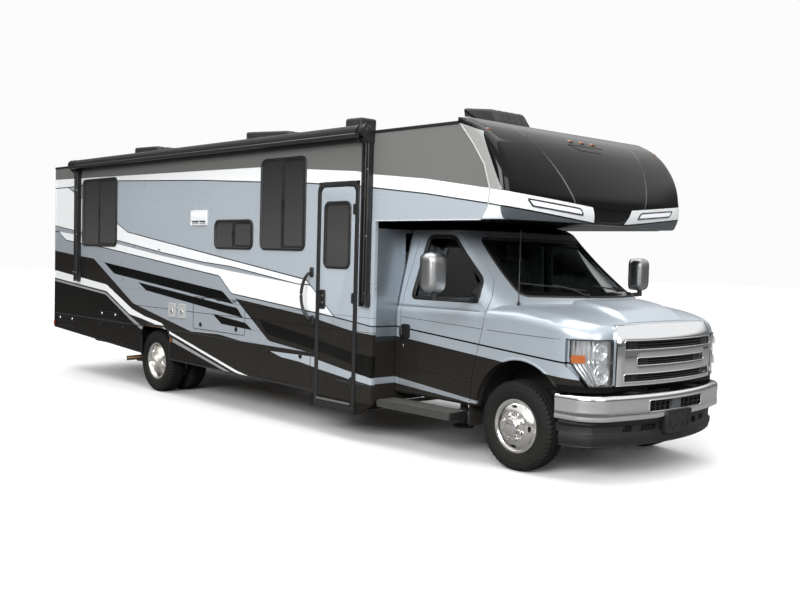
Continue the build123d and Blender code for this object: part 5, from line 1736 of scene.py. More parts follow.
# over-cab cap: height, x of the middle, x of the corners
capTable = [(2.042, 0.158, 0.032), (2.135, 0.195, 0.072), (2.27, 0.188, 0.075), (2.48, 0.095, 0.028),
            (2.67, -0.045, -0.088), (2.8, -0.215, -0.235), (2.885, -0.4, -0.405)]
capSeam = [(-0.166, 2.042), (-0.085, 2.167), (-0.075, 2.287), (-0.14, 2.48), (-0.264, 2.65), (-0.41, 2.815),
           (-0.445, 2.85)]


def capRow(z, middleX, sideX, inset):
    half, front = 1.283 - inset, sideX - inset
    arc = arcThrough((front + 0.008, 0.06 - half), (middleX - inset, 0), (front + 0.008, half - 0.06), 40)
    outline = [(-0.6, -half), (front - 0.03, -half)] + arc + [(front - 0.03, half), (-0.6, half)]
    line = softened(evenLine([(x, y, 0) for x, y in outline], 240), 6)
    return [(p.x, p.y, z) for p in line]


def capVolume():
    rows = [capRow(z, *blendTable(capTable, z), inset) for z, inset in ((2.042, 0.016), (2.044, 0.007),
                                                                        (2.05, 0.002),
                                                                        (2.058, 0.0))]
    rows += [capRow(2.058 + 0.0205 * i, *blendTable(capTable, 2.058 + 0.0205 * i), 0.0) for i in range(1, 41)]
    rows += [capRow(2.884, *blendTable(capTable, 2.884), 0.01)]
    return capped(grid(rows), 240)


def makeCap():
    outer = newObject("capOuter", capVolume(), [mats["capPaint"]])
    outer.data.shade_smooth()
    skin = skinTree(outer)
    cap = copied(outer, "capShell")
    ahead = capSeam + [(-0.445, 3.0), (0.6, 3.0), (0.6, 1.9), (-0.166, 1.9)]
    cut(cap, prism(ahead, "y", -1.4, 1.4), "INTERSECT")
    borrowNormals(cap, [skin])
    rode(cap, "chassis", ["front_cap"])
    bpy.data.meshes.remove(outer.data)
    return skin


capSkin = makeCap()


def capTrim():
    shapes = []
    for sign in (-1, 1):
        seam = [(p[0], sign * 1.2835, p[1]) for p in finePath(capSeam[:-1], 0.03, False)]
        shapes.append(tube(seam, 0.006, 8, 0))
        ridge = [(0.79, 2.755), (0.66, 2.52), (0.545, 2.30), (0.50, 2.20)]
        shapes.append(tube([onFront(sign * y, z, capSkin, -0.001)
                            for y, z in [tuple(p.xy) for p in smoothPath([(y, z, 0) for y, z in ridge], 8)]],
                           0.005, 8, 1))
        led = [(sign * 1.045, 2.214), (sign * 0.46, 2.166), (sign * 0.43, 2.150), (sign * 0.40, 2.113),
               (sign * 0.985, 2.160)]
        line = finePath(roundedOutline(led, 0.012, 3), 0.04)
        shapes.append(tube([onFront(p[0], p[1], capSkin, 0.002) for p in line], 0.0075, 8, 2, closed=True))
        rows = []
        for across, out in ((0.06, -0.004), (0.08, 0.003), (0.3, 0.0055), (0.7, 0.0055), (0.92, 0.003),
                            (0.94, -0.004)):
            top, low = (Vector((1.03, 2.213, 0)).lerp(Vector((0.985, 2.16, 0)), across),
                        Vector((0.45, 2.163, 0)).lerp(Vector((0.41, 2.118, 0)), across))
            rows.append([onFront(sign * p.x, p.y, capSkin, out)
                         for p in [top.lerp(low, k / 16) for k in range(17)]])
        shapes.append(grid(rows, closeRow=False, mat=3))
    recess = finePath(roundedOutline([(-0.26, 2.735), (0.26, 2.735), (0.15, 2.685), (-0.15, 2.685)], 0.012,
                                     3), 0.05)
    shapes.append(tube([onFront(p[0], p[1], capSkin, 0.0) for p in recess], 0.004, 6, 1, closed=True))
    under = [(-0.21, 2.085), (-0.14, 2.062), (0.14, 2.062), (0.21, 2.085)]
    shapes.append(tube([onFront(y, z, capSkin, 0.0) for y, z in under], 0.005, 6, 1))
    return joined(*shapes)


piece("capTrim", capTrim(), [mats["trimLight"], mats["satin"], mats["gloss"], mats["ledWhite"]],
      angle=50)
print("cap made")


# windows: x from, x to, z from, z to
coachWindows = [(-7.48, -6.505, 1.768, 2.615), (-3.23, -2.5, 1.776, 2.66), (-4.115, -3.406, 1.775, 2.048)]
ringSection = [(-0.025, -0.002), (-0.0245, 0.006), (-0.021, 0.0105), (-0.015, 0.0135), (-0.004, 0.014),
               (0.0005, 0.012), (0.004, 0.006), (0.007, 0.001), (0.007, -0.006), (-0.02, -0.006)]


def ringShape(x0, x1, z0, z1, radius, face, sign, section=None, mat=0):
    rows = []
    for inset, proud in section or ringSection:
        line = roundedRect(x0 + inset, x1 - inset, z0 + inset, z1 - inset, max(radius - inset, 0.004), 8)
        rows.append([(x, face + sign * proud, z) for x, z in line])
    return grid(rows, closeRows=True, mat=mat)


# a shape made on the right wall's plane, turned to face backwards
def turnedToRear(shape, x):
    return [Vector((x + p.y, -p.x, p.z)) for p in shape[0]], shape[1], shape[2]


def makeWindows():
    rings = []
    for x0, x1, z0, z1 in coachWindows:
        for sign in (-1, 1):
            face = sign * 1.283
            rings.append(ringShape(x0, x1, z0, z1, 0.055, face, sign))
            middle = (x0 + x1) / 2
            bar = [(middle - 0.014, 0.0005), (middle - 0.012, 0.008), (middle - 0.006, 0.0115),
                   (middle + 0.006, 0.0115), (middle + 0.012, 0.008), (middle + 0.014, 0.0005)]
            rings.append(capped(grid([[(x, face + sign * out, z) for x, out in bar] for z in (z0 - 0.002,
                                                                                              z1 + 0.002)]),
                                6))
            sash = [(-0.002, -0.001), (0.0, 0.004), (0.012, 0.004), (0.014, -0.001)]
            rings.append(ringShape(middle + 0.02, x1 - 0.012, z0 + 0.012, z1 - 0.012, 0.035, face, sign,
                                   sash))
            latch = box(middle - 0.006, middle + 0.02, face + min(sign * 0.008, sign * 0.018),
                        face + max(sign * 0.008, sign * 0.018), (z0 + z1) / 2 - 0.03, (z0 + z1) / 2 + 0.03, 0)
            rings.append(latch)
    rings.append(turnedToRear(ringShape(-0.48, 0.48, 1.76, 2.33, 0.055, 0.0, -1), -8.41))
    piece("windowRings", joined(*rings), mats["satin"], replaced=["window_frames"],
          angle=40)
    hatchRing = [ringShape(-4.64, -4.30, 2.01, 2.18, 0.012, -1.283, -1,
                           [(0, 0), (0.001, 0.011), (0.004, 0.0135), (0.012, 0.0135), (0.014, 0.010),
                            (0.014, 0)])]
    hatchRing.append(box(-4.628, -4.312, -1.2865, -1.284, 2.022, 2.168, 1))
    hood = [(-1.284, 2.168), (-1.2935, 2.168), (-1.297, 2.16), (-1.2995, 2.075), (-1.298, 2.064),
            (-1.284, 2.064)]
    hatchRing.append(prism(hood, "x", -4.63, -4.31, 0))
    for x in (-4.626, -4.47, -4.318):
        hatchRing.append(prism([(-1.284, 2.066), (-1.2975, 2.066), (-1.291, 2.026), (-1.284, 2.022)], "x", x,
                               x + 0.006, 0))
    hatchRing.append(prism([(-1.284, 2.038), (-1.2905, 2.034), (-1.291, 2.038), (-1.284, 2.046)], "x", -4.62,
                           -4.32, 0))
    piece("fridgeVent", joined(*hatchRing), [mats["whitePlastic"], mats["greyPlastic"]])


makeWindows()

# entry door and its frame
entrySizes = {"frame": (-2.278, -1.667, 0.262, 2.412), "door": (-2.224, -1.721, 0.334, 2.36),
              "window": (-2.145, -1.797, 1.62, 2.203), "radius": 0.06}


def archOutline(x0, x1, z0, z1, radius):         # a rectangle with its upper corners rounded
    line = [(x0, z0), (x1, z0)]
    line += [(x1 - radius + radius * math.cos(math.radians(10 * k)),
              z1 - radius + radius * math.sin(math.radians(10 * k))) for k in range(10)]
    line += [(x0 + radius - radius * math.sin(math.radians(10 * k)),
              z1 - radius + radius * math.cos(math.radians(10 * k))) for k in range(10)]
    return line


def makeEntry(s):
    x0, x1, z0, z1 = s["door"]
    door = newObject("entryPanel", prism(archOutline(x0, x1, z0, z1, s["radius"]), "y", -1.291, -1.247),
                     [mats["coachSkin"]])
    cut(door, prism(roundedRect(*s["window"], 0.045), "y", -1.4, -1.1))
    round2(door, 0.004, 3, 50)
    finishPiece(door, "entry", ["entry_door"], 30)
    f0, f1, g0, g1 = s["frame"]
    frameObj = newObject("entrySurround", prism(archOutline(f0, f1, g0, g1, s["radius"] + 0.035), "y", -1.297,
                                                -1.243), [mats["doorFrame"]])
    cut(frameObj, prism(archOutline(x0 - 0.006, x1 + 0.006, z0 - 0.006, z1 + 0.006, s["radius"] + 0.006), "y",
                        -1.4, -1.1))
    round2(frameObj, 0.0045, 3, 50)
    finishPiece(frameObj, "chassis", ["entry_frame"], 30)
    parts = [ringShape(*s["window"], 0.045, -1.291, -1, [(-0.026, 0), (-0.0255, 0.006), (-0.021, 0.011),
                                                         (-0.012, 0.0125),
                                                        (0.0, 0.010), (0.008, 0.005), (0.009, -0.004),
                                                        (-0.02, -0.004)])]
    handle = ringShape(-2.246, -2.13, 1.207, 1.391, 0.018, -1.291, -1,
                       [(0, 0), (0.001, 0.010), (0.005, 0.014), (0.014, 0.015), (0.018, 0.008), (0.018, 0)])
    parts.append(handle)
    parts.append(box(-2.231, -2.145, -1.2965, -1.291, 1.222, 1.376))
    parts.append(capped(grid([[(x, y, z) for x, y in ((-2.218, -1.296), (-2.218, -1.308), (-2.212, -1.312),
                                                      (-2.19, -1.312), (-2.184, -1.308), (-2.184, -1.296))]
                              for z in (1.245, 1.35)]), 6))
    parts.append(lathe([(-0.008, 0), (-0.008, 0.011), (0, 0.012)], 20, (-2.162, -1.296, 1.27), 1,
                       close=False))
    parts.append(lathe([(-0.008, 0), (-0.008, 0.011), (0, 0.012)], 20, (-2.162, -1.296, 1.335), 1,
                       close=False))
    for z in (0.55, 1.33, 2.15):
        parts.append(box(-1.742, -1.719, -1.2975, -1.291, z - 0.045, z + 0.045))
        parts.append(tube([(-1.7205, -1.297, z - 0.05), (-1.7205, -1.297, z + 0.05)], 0.0065, 10))
    piece("entryFittings", joined(*parts), [mats["satin"], mats["chrome"]], "entry")
    kick = [(-1.291, 0.336), (-1.2975, 0.337), (-1.299, 0.342), (-1.299, 0.352), (-1.297, 0.357),
            (-1.291, 0.358)]
    piece("entryKick", prism(kick, "x", -2.24, -1.727), mats["alloy"], "entry")
    grab = smoothPath([(-2.359, -1.284, 1.545), (-2.366, -1.33, 1.53), (-2.40, -1.356, 1.45),
                       (-2.418, -1.365, 1.326),
                       (-2.40, -1.356, 1.20), (-2.345, -1.33, 1.105), (-2.335, -1.284, 1.09)], 8)
    pads = [ringShape(x - 0.028, x + 0.028, z - 0.05, z + 0.05, 0.02, -1.283, -1,
                      [(0, 0), (0.002, 0.010), (0.008, 0.016), (0.02, 0.018), (0.0275, 0.018), (0.0275, 0)])
            for x, z in ((-2.359, 1.55), (-2.335, 1.085))]
    piece("grabHandle", joined(tube(grab, 0.0155, 12), *pads), mats["satin"],
          angle=50)


makeEntry(entrySizes)
print("windows and entry made")

# mouldings, seams, latches and small fittings of the coach body
storageDoors = {"storage_rear_right": (-7.08, -6.11, 0.50, 0.765, -1), "storage_middle_right": (-4.565,
                                                                                                -3.515, 0.845,
                1.20, -1), "storage_front_right": (-3.24, -2.36, 0.44, 0.765, -1),
                "storage_rear_left": (-7.08, -6.11,
                0.50, 0.765, 1), "storage_front_left": (-4.20, -2.90, 0.44, 0.765, 1)}


def bodyMouldings():
    dark, light = [], []
    for sign in (-1, 1):
        y = sign * 1.2835
        dark.append(prism([(sign * 1.270, 2.822), (sign * 1.2885, 2.822), (sign * 1.2905, 2.834),
                           (sign * 1.2885, 2.848), (sign * 1.272, 2.852)], "x", -8.41, -0.44))
        dark.append(tube([(-8.409, y, 0.782), (-5.80, y, 0.782)], 0.005, 6))
        dark.append(tube([(-5.08, y, 0.782), (-2.33 if sign < 0 else -1.447, y,
                                              0.766 if sign < 0 else 0.782)], 0.005, 6))
        arch = [(-5.79, 0.45), (-5.79, 0.70), (-5.74, 0.78), (-5.64, 0.812), (-5.24, 0.812), (-5.14, 0.775),
                (-5.09, 0.70), (-5.09, 0.432)]
        dark.append(tube([(x, y, z) for x, z in [tuple(p) for p in finePath(arch, 0.05, False)]], 0.0095, 8))
        for x0, x1 in ((-8.407, -5.80), (-5.08, -2.335 if sign < 0 else -1.45)):
            low0 = 0.585 if x0 < -8 else 0.432
            low1 = 0.448 if x0 < -8 else (0.402 if sign < 0 else 0.370)
            dark.append(tube([(x0, sign * 1.281, low0), (x1, sign * 1.281, low1)], 0.0065, 6))
        light.append(capped(grid([[(-8.375, sign * 1.2875, z), (-8.395, sign * 1.2885, z),
                                   (-8.4115, sign * 1.282, z),
                                   (-8.4155, sign * 1.268, z), (-8.4145, sign * 1.245, z),
                                   (-8.408, sign * 1.245, z),
                                   (-8.408, sign * 1.28, z), (-8.375, sign * 1.28, z)] for z in (0.59, 2.83)],
                                 mat=1), 8, 1))
        light.append(capped(grid([[(-1.508, sign * 1.2842, z), (-1.502, sign * 1.2862, z),
                                   (-1.456, sign * 1.2862, z),
                                   (-1.4455, sign * 1.282, z), (-1.4435, sign * 1.272, z),
                                   (-1.448, sign * 1.270, z),
                                   (-1.448, sign * 1.28, z), (-1.508, sign * 1.28, z)] for z in (0.372,
                                                                                                 2.041)],
                                 mat=1), 8, 1))
        light.append(tube([(-1.446, sign * 1.2805, 2.042), (-0.166, sign * 1.2805, 2.042)], 0.0055, 8, 0))
    dark.append(tube([(-8.412, -1.26, 2.832), (-8.412, 1.26, 2.832)], 0.009, 8))
    dark.append(tube([(-8.412, -1.25, 0.59), (-8.412, 1.25, 0.59)], 0.007, 8))
    piece("bodyMouldings", joined(*dark), mats["satin"])
    piece("cornerMouldings", joined(*light), [mats["cornerTrim"], mats["coachSkin"]])


def lineAround(x0, x1, z0, z1, sign):
    return ringShape(x0, x1, z0, z1, 0.028, sign * 1.2832, sign, [(-0.007, -0.006), (-0.0065, 0.0015),
                                                                  (-0.0035, 0.0028), (-0.0005, 0.0015),
                                                                  (0.0, -0.006)])


def makeStorage():
    piece("storageSeals", joined(*[lineAround(*door) for door in storageDoors.values()]), mats["seal"],
          angle=50)
    for name, (x0, x1, z0, z1, sign) in storageDoors.items():
        parts = []
        for x in (x0 + 0.16, x1 - 0.16):
            z = z1 - 0.045 if z0 < 0.7 else z0 + 0.05
            parts.append(lathe([(0, 0.026), (sign * 0.005, 0.026), (sign * 0.008, 0.022),
                                (sign * 0.0085, 0.014), (sign * 0.005, 0.012), (sign * 0.005, 0)], 28,
                               (x, sign * 1.283, z), 0, close=False))
            parts.append(box(x - 0.018, x + 0.018, min(sign * 1.2875, sign * 1.296),
                             max(sign * 1.2875, sign * 1.296), z - 0.005,
                             z + 0.005, 0))
        for x in (x0 + 0.2, (x0 + x1) / 2, x1 - 0.2):
            z = z0 + 0.012 if z0 < 0.7 else z1 - 0.012
            parts.append(tube([(x - 0.03, sign * 1.2865, z), (x + 0.03, sign * 1.2865, z)], 0.0055, 8, 1))
        piece(name.replace("_", "") + "Latches", joined(*parts), [mats["satin"], mats["satin"]], name)


def wallFittings():
    parts = []
    for x, z, w, h in ((-5.044, 1.016, 0.082, 0.085), (-4.817, 1.019, 0.082, 0.085)):
        parts.append(ringShape(x - w, x + w, z - h, z + h, 0.02, -1.283, -1,
                               [(0, 0), (0.001, 0.008), (0.006, 0.012), (0.014, 0.012), (0.018, 0.007),
                                (0.018, 0)]))
        parts.append(prism(roundedRect(x - w + 0.016, x + w - 0.016, z - h + 0.016, z + h - 0.016, 0.012),
                           "y", -1.292, -1.284, 0))
        parts.append(lathe([(-0.006, 0), (-0.006, 0.02), (-0.003, 0.028), (0, 0.03)], 28,
                           (x, -1.292, z - 0.01), 1, close=False))
        parts.append(lathe([(-0.003, 0), (-0.003, 0.006), (0, 0.007)], 12, (x + 0.045, -1.292, z + 0.045), 1,
                           close=False))
    parts.append(lathe([(-0.012, 0), (-0.012, 0.014), (-0.006, 0.02), (0, 0.022)], 24,
                       (-5.369, -1.283, 1.734), 1, close=False))
    for x0, x1, z0, z1 in ((-8.30, -7.72, 0.62, 0.762), (-6.98, -6.42, 0.80, 0.90)):
        parts.append(ringShape(x0, x1, z0, z1, 0.02, -1.283, -1, [(0, 0), (0.0005, 0.003), (0.003, 0.0035),
                                                                  (0.0055, 0.003), (0.006, 0)], 2))
        for x in (x0 + 0.09, x1 - 0.09):
            parts.append(lathe([(-0.007, 0), (-0.007, 0.013), (-0.003, 0.018), (0, 0.019)], 20,
                               (x, -1.283, z1 - 0.035), 1, close=False))
    for x in (-6.0, -5.4):
        parts.append(ringShape(x, x + 0.34, 1.08, 1.40, 0.02, 1.283, 1,
                               [(0, 0), (0.001, 0.008), (0.006, 0.012), (0.014, 0.012), (0.018, 0.007),
                                (0.018, 0)]))
        parts.append(box(x + 0.016, x + 0.324, 1.284, 1.291, 1.096, 1.384, 0))
        for k in range(6):
            parts.append(box(x + 0.05, x + 0.29, 1.291, 1.2945, 1.13 + 0.04 * k, 1.142 + 0.04 * k, 2))
    piece("wallFittings", joined(*parts), [mats["trimLight"], mats["chrome"], mats["satin"]],
          angle=40)


bodyMouldings()
makeStorage()
wallFittings()
print("coach fittings made")

# awning: roller, end heads and folded arms
awningSizes = {"y": -1.352, "z": 2.845, "radius": 0.055, "from": -7.72, "to": -1.49, "arms": (-7.6, -1.535)}


def makeAwning(s):
    roll = []
    for i in range(61):
        x = s["from"] + (s["to"] - s["from"]) * i / 60
        roll.append([(x, s["y"] + (s["radius"] - 0.0015 * (k % 4 == 0)) * math.cos(2 * math.pi * k / 48),
                      s["z"] + (s["radius"] - 0.0015 * (k % 4 == 0)) * math.sin(2 * math.pi * k / 48))
                      for k in range(48)])
    parts = [capped(grid(roll, mat=0), 48, 0)]
    parts.append(prism([(s["y"] - 0.056, s["z"] - 0.02), (s["y"] - 0.066, s["z"] - 0.03),
                        (s["y"] - 0.066, s["z"] - 0.062), (s["y"] - 0.050, s["z"] - 0.066),
                        (s["y"] - 0.03, s["z"] - 0.048)], "x", s["from"] + 0.06, s["to"] - 0.06, 1))
    parts.append(prism([(-1.2835, 2.76), (-1.300, 2.76), (-1.306, 2.772), (-1.306, 2.80), (-1.2835, 2.80)],
                       "x", s["from"] + 0.05, s["to"] - 0.05, 1))
    for x in s["arms"]:
        head = roundedOutline([(-1.2835, 2.735), (-1.36, 2.735), (-1.418, 2.79), (-1.424, 2.86),
                               (-1.40, 2.898), (-1.33, 2.902), (-1.2835, 2.87)], 0.02, 4)
        for x0, x1 in ((x - 0.061, x - 0.040), (x + 0.040, x + 0.061)):
            parts.append(prism(head, "x", x0, x1, 1))
        parts.append(prism(roundedOutline([(-1.2835, 2.74), (-1.35, 2.74), (-1.37, 2.78), (-1.2835, 2.79)],
                                          0.01, 3), "x", x - 0.045, x + 0.045, 1))
        cap = [(-0.066, 0.0), (-0.066, 0.035), (-0.060, 0.046), (-0.038, 0.048)]
        for side in (-1, 1):
            ends = []
            for k in range(28):
                turn = 2 * math.pi * k / 28
                ends.append([(x + side * abs(a), s["y"] + r * math.cos(turn),
                              s["z"] + r * math.sin(turn)) for a, r in cap])
            parts.append(grid(ends, closeRows=True, closeRow=False, mat=1))
        channel = [(x - 0.049, -1.284), (x - 0.049, -1.340), (x - 0.044, -1.346), (x - 0.034, -1.346),
                   (x - 0.032, -1.340), (x - 0.032, -1.306), (x + 0.032, -1.306), (x + 0.032, -1.340),
                   (x + 0.034, -1.346), (x + 0.044, -1.346), (x + 0.049, -1.340), (x + 0.049, -1.284)]
        parts.append(prism(channel, "z", 1.262, 2.738, 1))
        inner = [(x - 0.024, -1.306), (x - 0.024, -1.350), (x - 0.019, -1.356), (x - 0.012, -1.356),
                 (x - 0.011, -1.330),
                 (x + 0.011, -1.330), (x + 0.012, -1.356), (x + 0.019, -1.356), (x + 0.024, -1.350),
                 (x + 0.024, -1.306)]
        parts.append(prism(inner, "z", 1.30, 2.75, 1))
        parts.append(tube([(x, -1.337, 1.55), (x, -1.337, 2.25)], 0.009, 12, 2))
        parts.append(tube([(x, -1.337, 2.25), (x, -1.337, 2.62)], 0.0055, 10, 3))
        foot = ringShape(x - 0.055, x + 0.055, 1.262, 1.40, 0.015, -1.2835, -1,
                         [(0, 0), (0.001, 0.02), (0.006, 0.026), (0.0545, 0.026), (0.0545, 0)], 1)
        parts.append(foot)
        for z in (1.275, 1.385, 1.9, 2.5):
            parts.append(lathe([(-0.005, 0), (-0.006, 0.006), (0, 0.008)], 10, (x + 0.041, -1.346, z), 3,
                               close=False))
            parts.append(lathe([(-0.005, 0), (-0.006, 0.006), (0, 0.008)], 10, (x - 0.041, -1.346, z), 3,
                               close=False))
    piece("awningSet", joined(*parts), [mats["awningFabric"], mats["satin"], mats["gloss"], mats["chrome"]],
          replaced=["awning"], angle=30)


makeAwning(awningSizes)

# roof units: x of the foot and the top at the back, of the top and the foot at the front, y of the
# middle, half width, height of the top at the back and the front, ribs along the top
roofUnits = [(-1.34, -1.41, -1.035, -0.92, 0.0, 0.24, 3.17, 3.125, 4),
             (-3.065, -3.06, -2.79, -2.775, -0.233, 0.117, 3.195, 3.19, 0),
             (-5.0, -4.99, -4.13, -3.98, 0.0, 0.345, 3.197, 3.15, 3),
             (-7.89, -7.88, -7.23, -7.03, 0.0, 0.345, 3.187, 3.17, 3)]


def unitShape(backFoot, backTop, frontTop, frontFoot, y, half, backHigh, frontHigh, ribs):
    side = [(backFoot, 2.866), (backTop, backHigh), (frontTop, frontHigh), (frontFoot - 0.025, 3.0),
            (frontFoot, 2.866)]
    side = roundedOutline(side, 0.035, 6)
    stations = [(0.0, 0.03), (0.003, 0.018), (0.010, 0.008), (0.022, 0.002), (0.035, 0.0)]
    for k in range(ribs):
        middle = half * (0.45 + 1.1 * k / max(ribs - 1, 1)) if ribs > 1 else half
        stations += [(middle - 0.03, 0.0), (middle - 0.024, 0.008), (middle + 0.024, 0.008),
                     (middle + 0.03, 0.0)]
    stations += [(2 * half - a, b) for a, b in ((0.035, 0.0), (0.022, 0.002), (0.010, 0.008), (0.003, 0.018),
                                                (0.0, 0.03))]
    rows = [[(x, y - half + across, max(z, 2.866)) for x, z in insetOutline(side, inset)]
            for across, inset in stations]
    return capped(grid(rows), len(side))


def makeRoofUnits():
    parts = []
    for unit in roofUnits:
        backFoot, backTop, _, x1, y, half, backHigh, _, ribs = unit
        parts.append(unitShape(*unit))
        parts.append(box(backFoot - 0.006, x1 + 0.006, y - half - 0.010, y + half + 0.010, 2.862, 2.882, 1))
        if not ribs:
            continue
        for k in range(7):
            z = 2.925 + 0.024 * k
            x = backFoot + (backTop - backFoot) * (z - 2.866) / (backHigh - 2.866)
            parts.append(box(x - 0.004, x + 0.006, y - half * 0.8, y + half * 0.8, z, z + 0.010, 1))
        for sign in (-1, 1):
            face = y + sign * half
            for k in range(8):
                x = max(backFoot, backTop) + 0.05 + 0.030 * k
                parts.append(box(x, x + 0.012, min(face, face + sign * 0.003), max(face, face + sign * 0.003),
                                 2.92, 3.0, 1))
            for x in (x1 - 0.10, backFoot + 0.06):
                parts.append(lathe([(0, 0.010), (sign * 0.004, 0.009), (sign * 0.006, 0)], 12,
                                   (x, face, 2.895), 3, close=False))
    for x, y in ((-6.72, -0.35), (-3.72, -0.4), (-2.0, 0.5)):
        vent = roundedRect(x - 0.2, x + 0.2, y - 0.2, y + 0.2, 0.04, 4)
        rows = [[(x + (a - x) * k, y + (b - y) * k, z) for a, b in vent]
                for k, z in ((1.08, 2.862), (1.08, 2.89), (1.0, 2.90), (1.0, 2.955), (0.97, 2.975),
                             (0.8, 2.99), (0.2, 2.994))]
        parts.append(capped(grid(rows, mat=2), len(vent), 2))
    for x, y in ((-5.6, 0.7), (-6.2, 0.7)):
        rows = [[(x + r * math.cos(2 * math.pi * k / 20), y + r * math.sin(2 * math.pi * k / 20), z)
                 for z, r in ((2.862, 0.07), (2.885, 0.07), (2.89, 0.03), (2.96, 0.03), (2.965, 0.045),
                              (2.985, 0.045),
                              (2.99, 0.0))] for k in range(20)]
        parts.append(grid(rows, closeRows=True, closeRow=False, mat=2))
    piece("roofUnits", joined(*parts), [mats["unitBlack"], mats["blackPlastic"], mats["roofWhite"],
                                        mats["chrome"]],
          replaced=["roof_units"], angle=38)


makeRoofUnits()
print("awning and roof units made")


# lamps of the coach: a dark base under a ribbed lens
def pebble(centre, halves, power, mat=0, steps=18):  # a box with rounded faces
    def bent(value, exponent):
        return math.copysign(abs(value) ** exponent, value)
    rows = []
    for i in range(1, steps):
        tilt = -math.pi / 2 + math.pi * i / steps
        rows.append([(centre[0] + halves[0] * bent(math.cos(tilt), 2 / power) * bent(math.cos(turn),
                                                                                     2 / power),
                      centre[1] + halves[1] * bent(math.cos(tilt), 2 / power) * bent(math.sin(turn),
                                                                                     2 / power),
                      centre[2] + halves[2] * bent(math.sin(tilt), 2 / power))
                     for turn in [2 * math.pi * k / (2 * steps) for k in range(2 * steps)]])
    return capped(grid(rows, mat=mat), 2 * steps, mat)


markerSizes = {"clearance": [-1.19, -0.16, 0.0, 0.16, 1.19], "rearTop": [-0.12, 0.0, 0.12],
               "tail": (1.09, 1.19, 0.88, 1.24)}


def makeLamps(s):
    parts = []
    for y in s["clearance"]:
        x = -0.216 if abs(y) > 0.5 else -0.188
        parts.append(pebble((x, y, 2.757), (0.040, 0.034, 0.010), 6, 0))
        parts.append(pebble((x + 0.002, y, 2.768), (0.031, 0.027, 0.017), 3.2, 1))
    for sign in (-1, 1):
        for x0, x1, z0, z1, mat in ((-5.087, -5.033, 0.633, 0.692, 1), (-8.407, -8.361, 0.6, 0.68, 2)):
            parts.append(ringShape(x0, x1, z0, z1, 0.008, sign * 1.283, sign,
                                   [(0, 0), (0, 0.006), (0.006, 0.006), (0.007, 0)], 0))
            parts.append(pebble(((x0 + x1) / 2, sign * 1.287, (z0 + z1) / 2),
                                ((x1 - x0) / 2 - 0.005, 0.011, (z1 - z0) / 2 - 0.005), 5, mat))
        y0, y1, z0, z1 = s["tail"]
        middle, half = sign * (y0 + y1) / 2, (y1 - y0) / 2
        parts.append(turnedToRear(ringShape(middle - half, middle + half, z0, z1, 0.02, 0.0, -1,
                                            [(0, 0), (0, 0.014), (0.004, 0.018), (0.010, 0.016), (0.012, 0)],
                                            0), -8.41))
        for k, mat in enumerate((2, 2, 4, 3)):
            low = z0 + 0.012 + k * (z1 - z0 - 0.024) / 4
            parts.append(pebble((-8.414, middle, low + 0.042), (0.014, half - 0.013, 0.0405), 7, mat))
        parts.append(pebble((-8.416, sign * 1.14, 2.7175), (0.008, 0.048, 0.016), 4, 2))
    for y in s["rearTop"]:
        parts.append(pebble((-8.416, y, 2.7475), (0.008, 0.038, 0.016), 4, 2))
    parts.append(pebble((-8.414, 0.45, 2.735), (0.013, 0.06, 0.03), 3, 0))
    piece("lampSet", joined(*parts), [mats["satin"], mats["amberDark"], mats["red"], mats["whiteLens"],
                                      mats["amber"]],
          replaced=["lamps"], angle=40)


makeLamps(markerSizes)

# cab seats: stuffed cushions on moulded bases, with sewn channels
seatSizes = {"y": 0.45, "seat": (0.26, 0.245, 0.07), "back": (0.335, 0.235, 0.058),
             "head": (0.088, 0.115, 0.042),
             "lean": 82.0, "steps": 64}


def cushionShape(halves, matrix, channels, s, power=5.0):
    count = s["steps"]
    spread = [math.sin(math.pi / 2 * (2 * i / count - 1)) for i in range(count + 1)]
    top, low = [], []
    for a in spread:
        upper, under = [], []
        for b in spread:
            x = a * halves[0] * (1 - 0.035 * math.cos(math.pi * b / 2) ** 2 * abs(a))
            y = b * halves[1] * (1 - 0.035 * math.cos(math.pi * a / 2) ** 2 * abs(b))
            rim = ((1 - abs(a) ** power) * (1 - abs(b) ** power)) ** (1 / power)
            crown = 0.82 + 0.18 * math.cos(math.pi * a / 2) * math.cos(math.pi * b / 2)
            sewn = sum(depth * math.exp(-(((x, y)[axis] - at) / 0.007) ** 2) for axis, at, depth in channels)
            upper.append(matrix @ Vector((x, y, halves[2] * rim * crown - sewn * rim)))
            under.append(matrix @ Vector((x, y, -halves[2] * rim * 0.85)))
        top.append(upper)
        low.append(under)
    shape = joined(grid(top, closeRow=False), grid(low[::-1], closeRow=False))
    edge = [row[0] for row in top] + top[-1][1:] + [row[-1] for row in top[:-1]][::-1] + top[0][1:-1][::-1]
    return joined(shape, tube(edge[::2], 0.0045, 6, 0, closed=True))


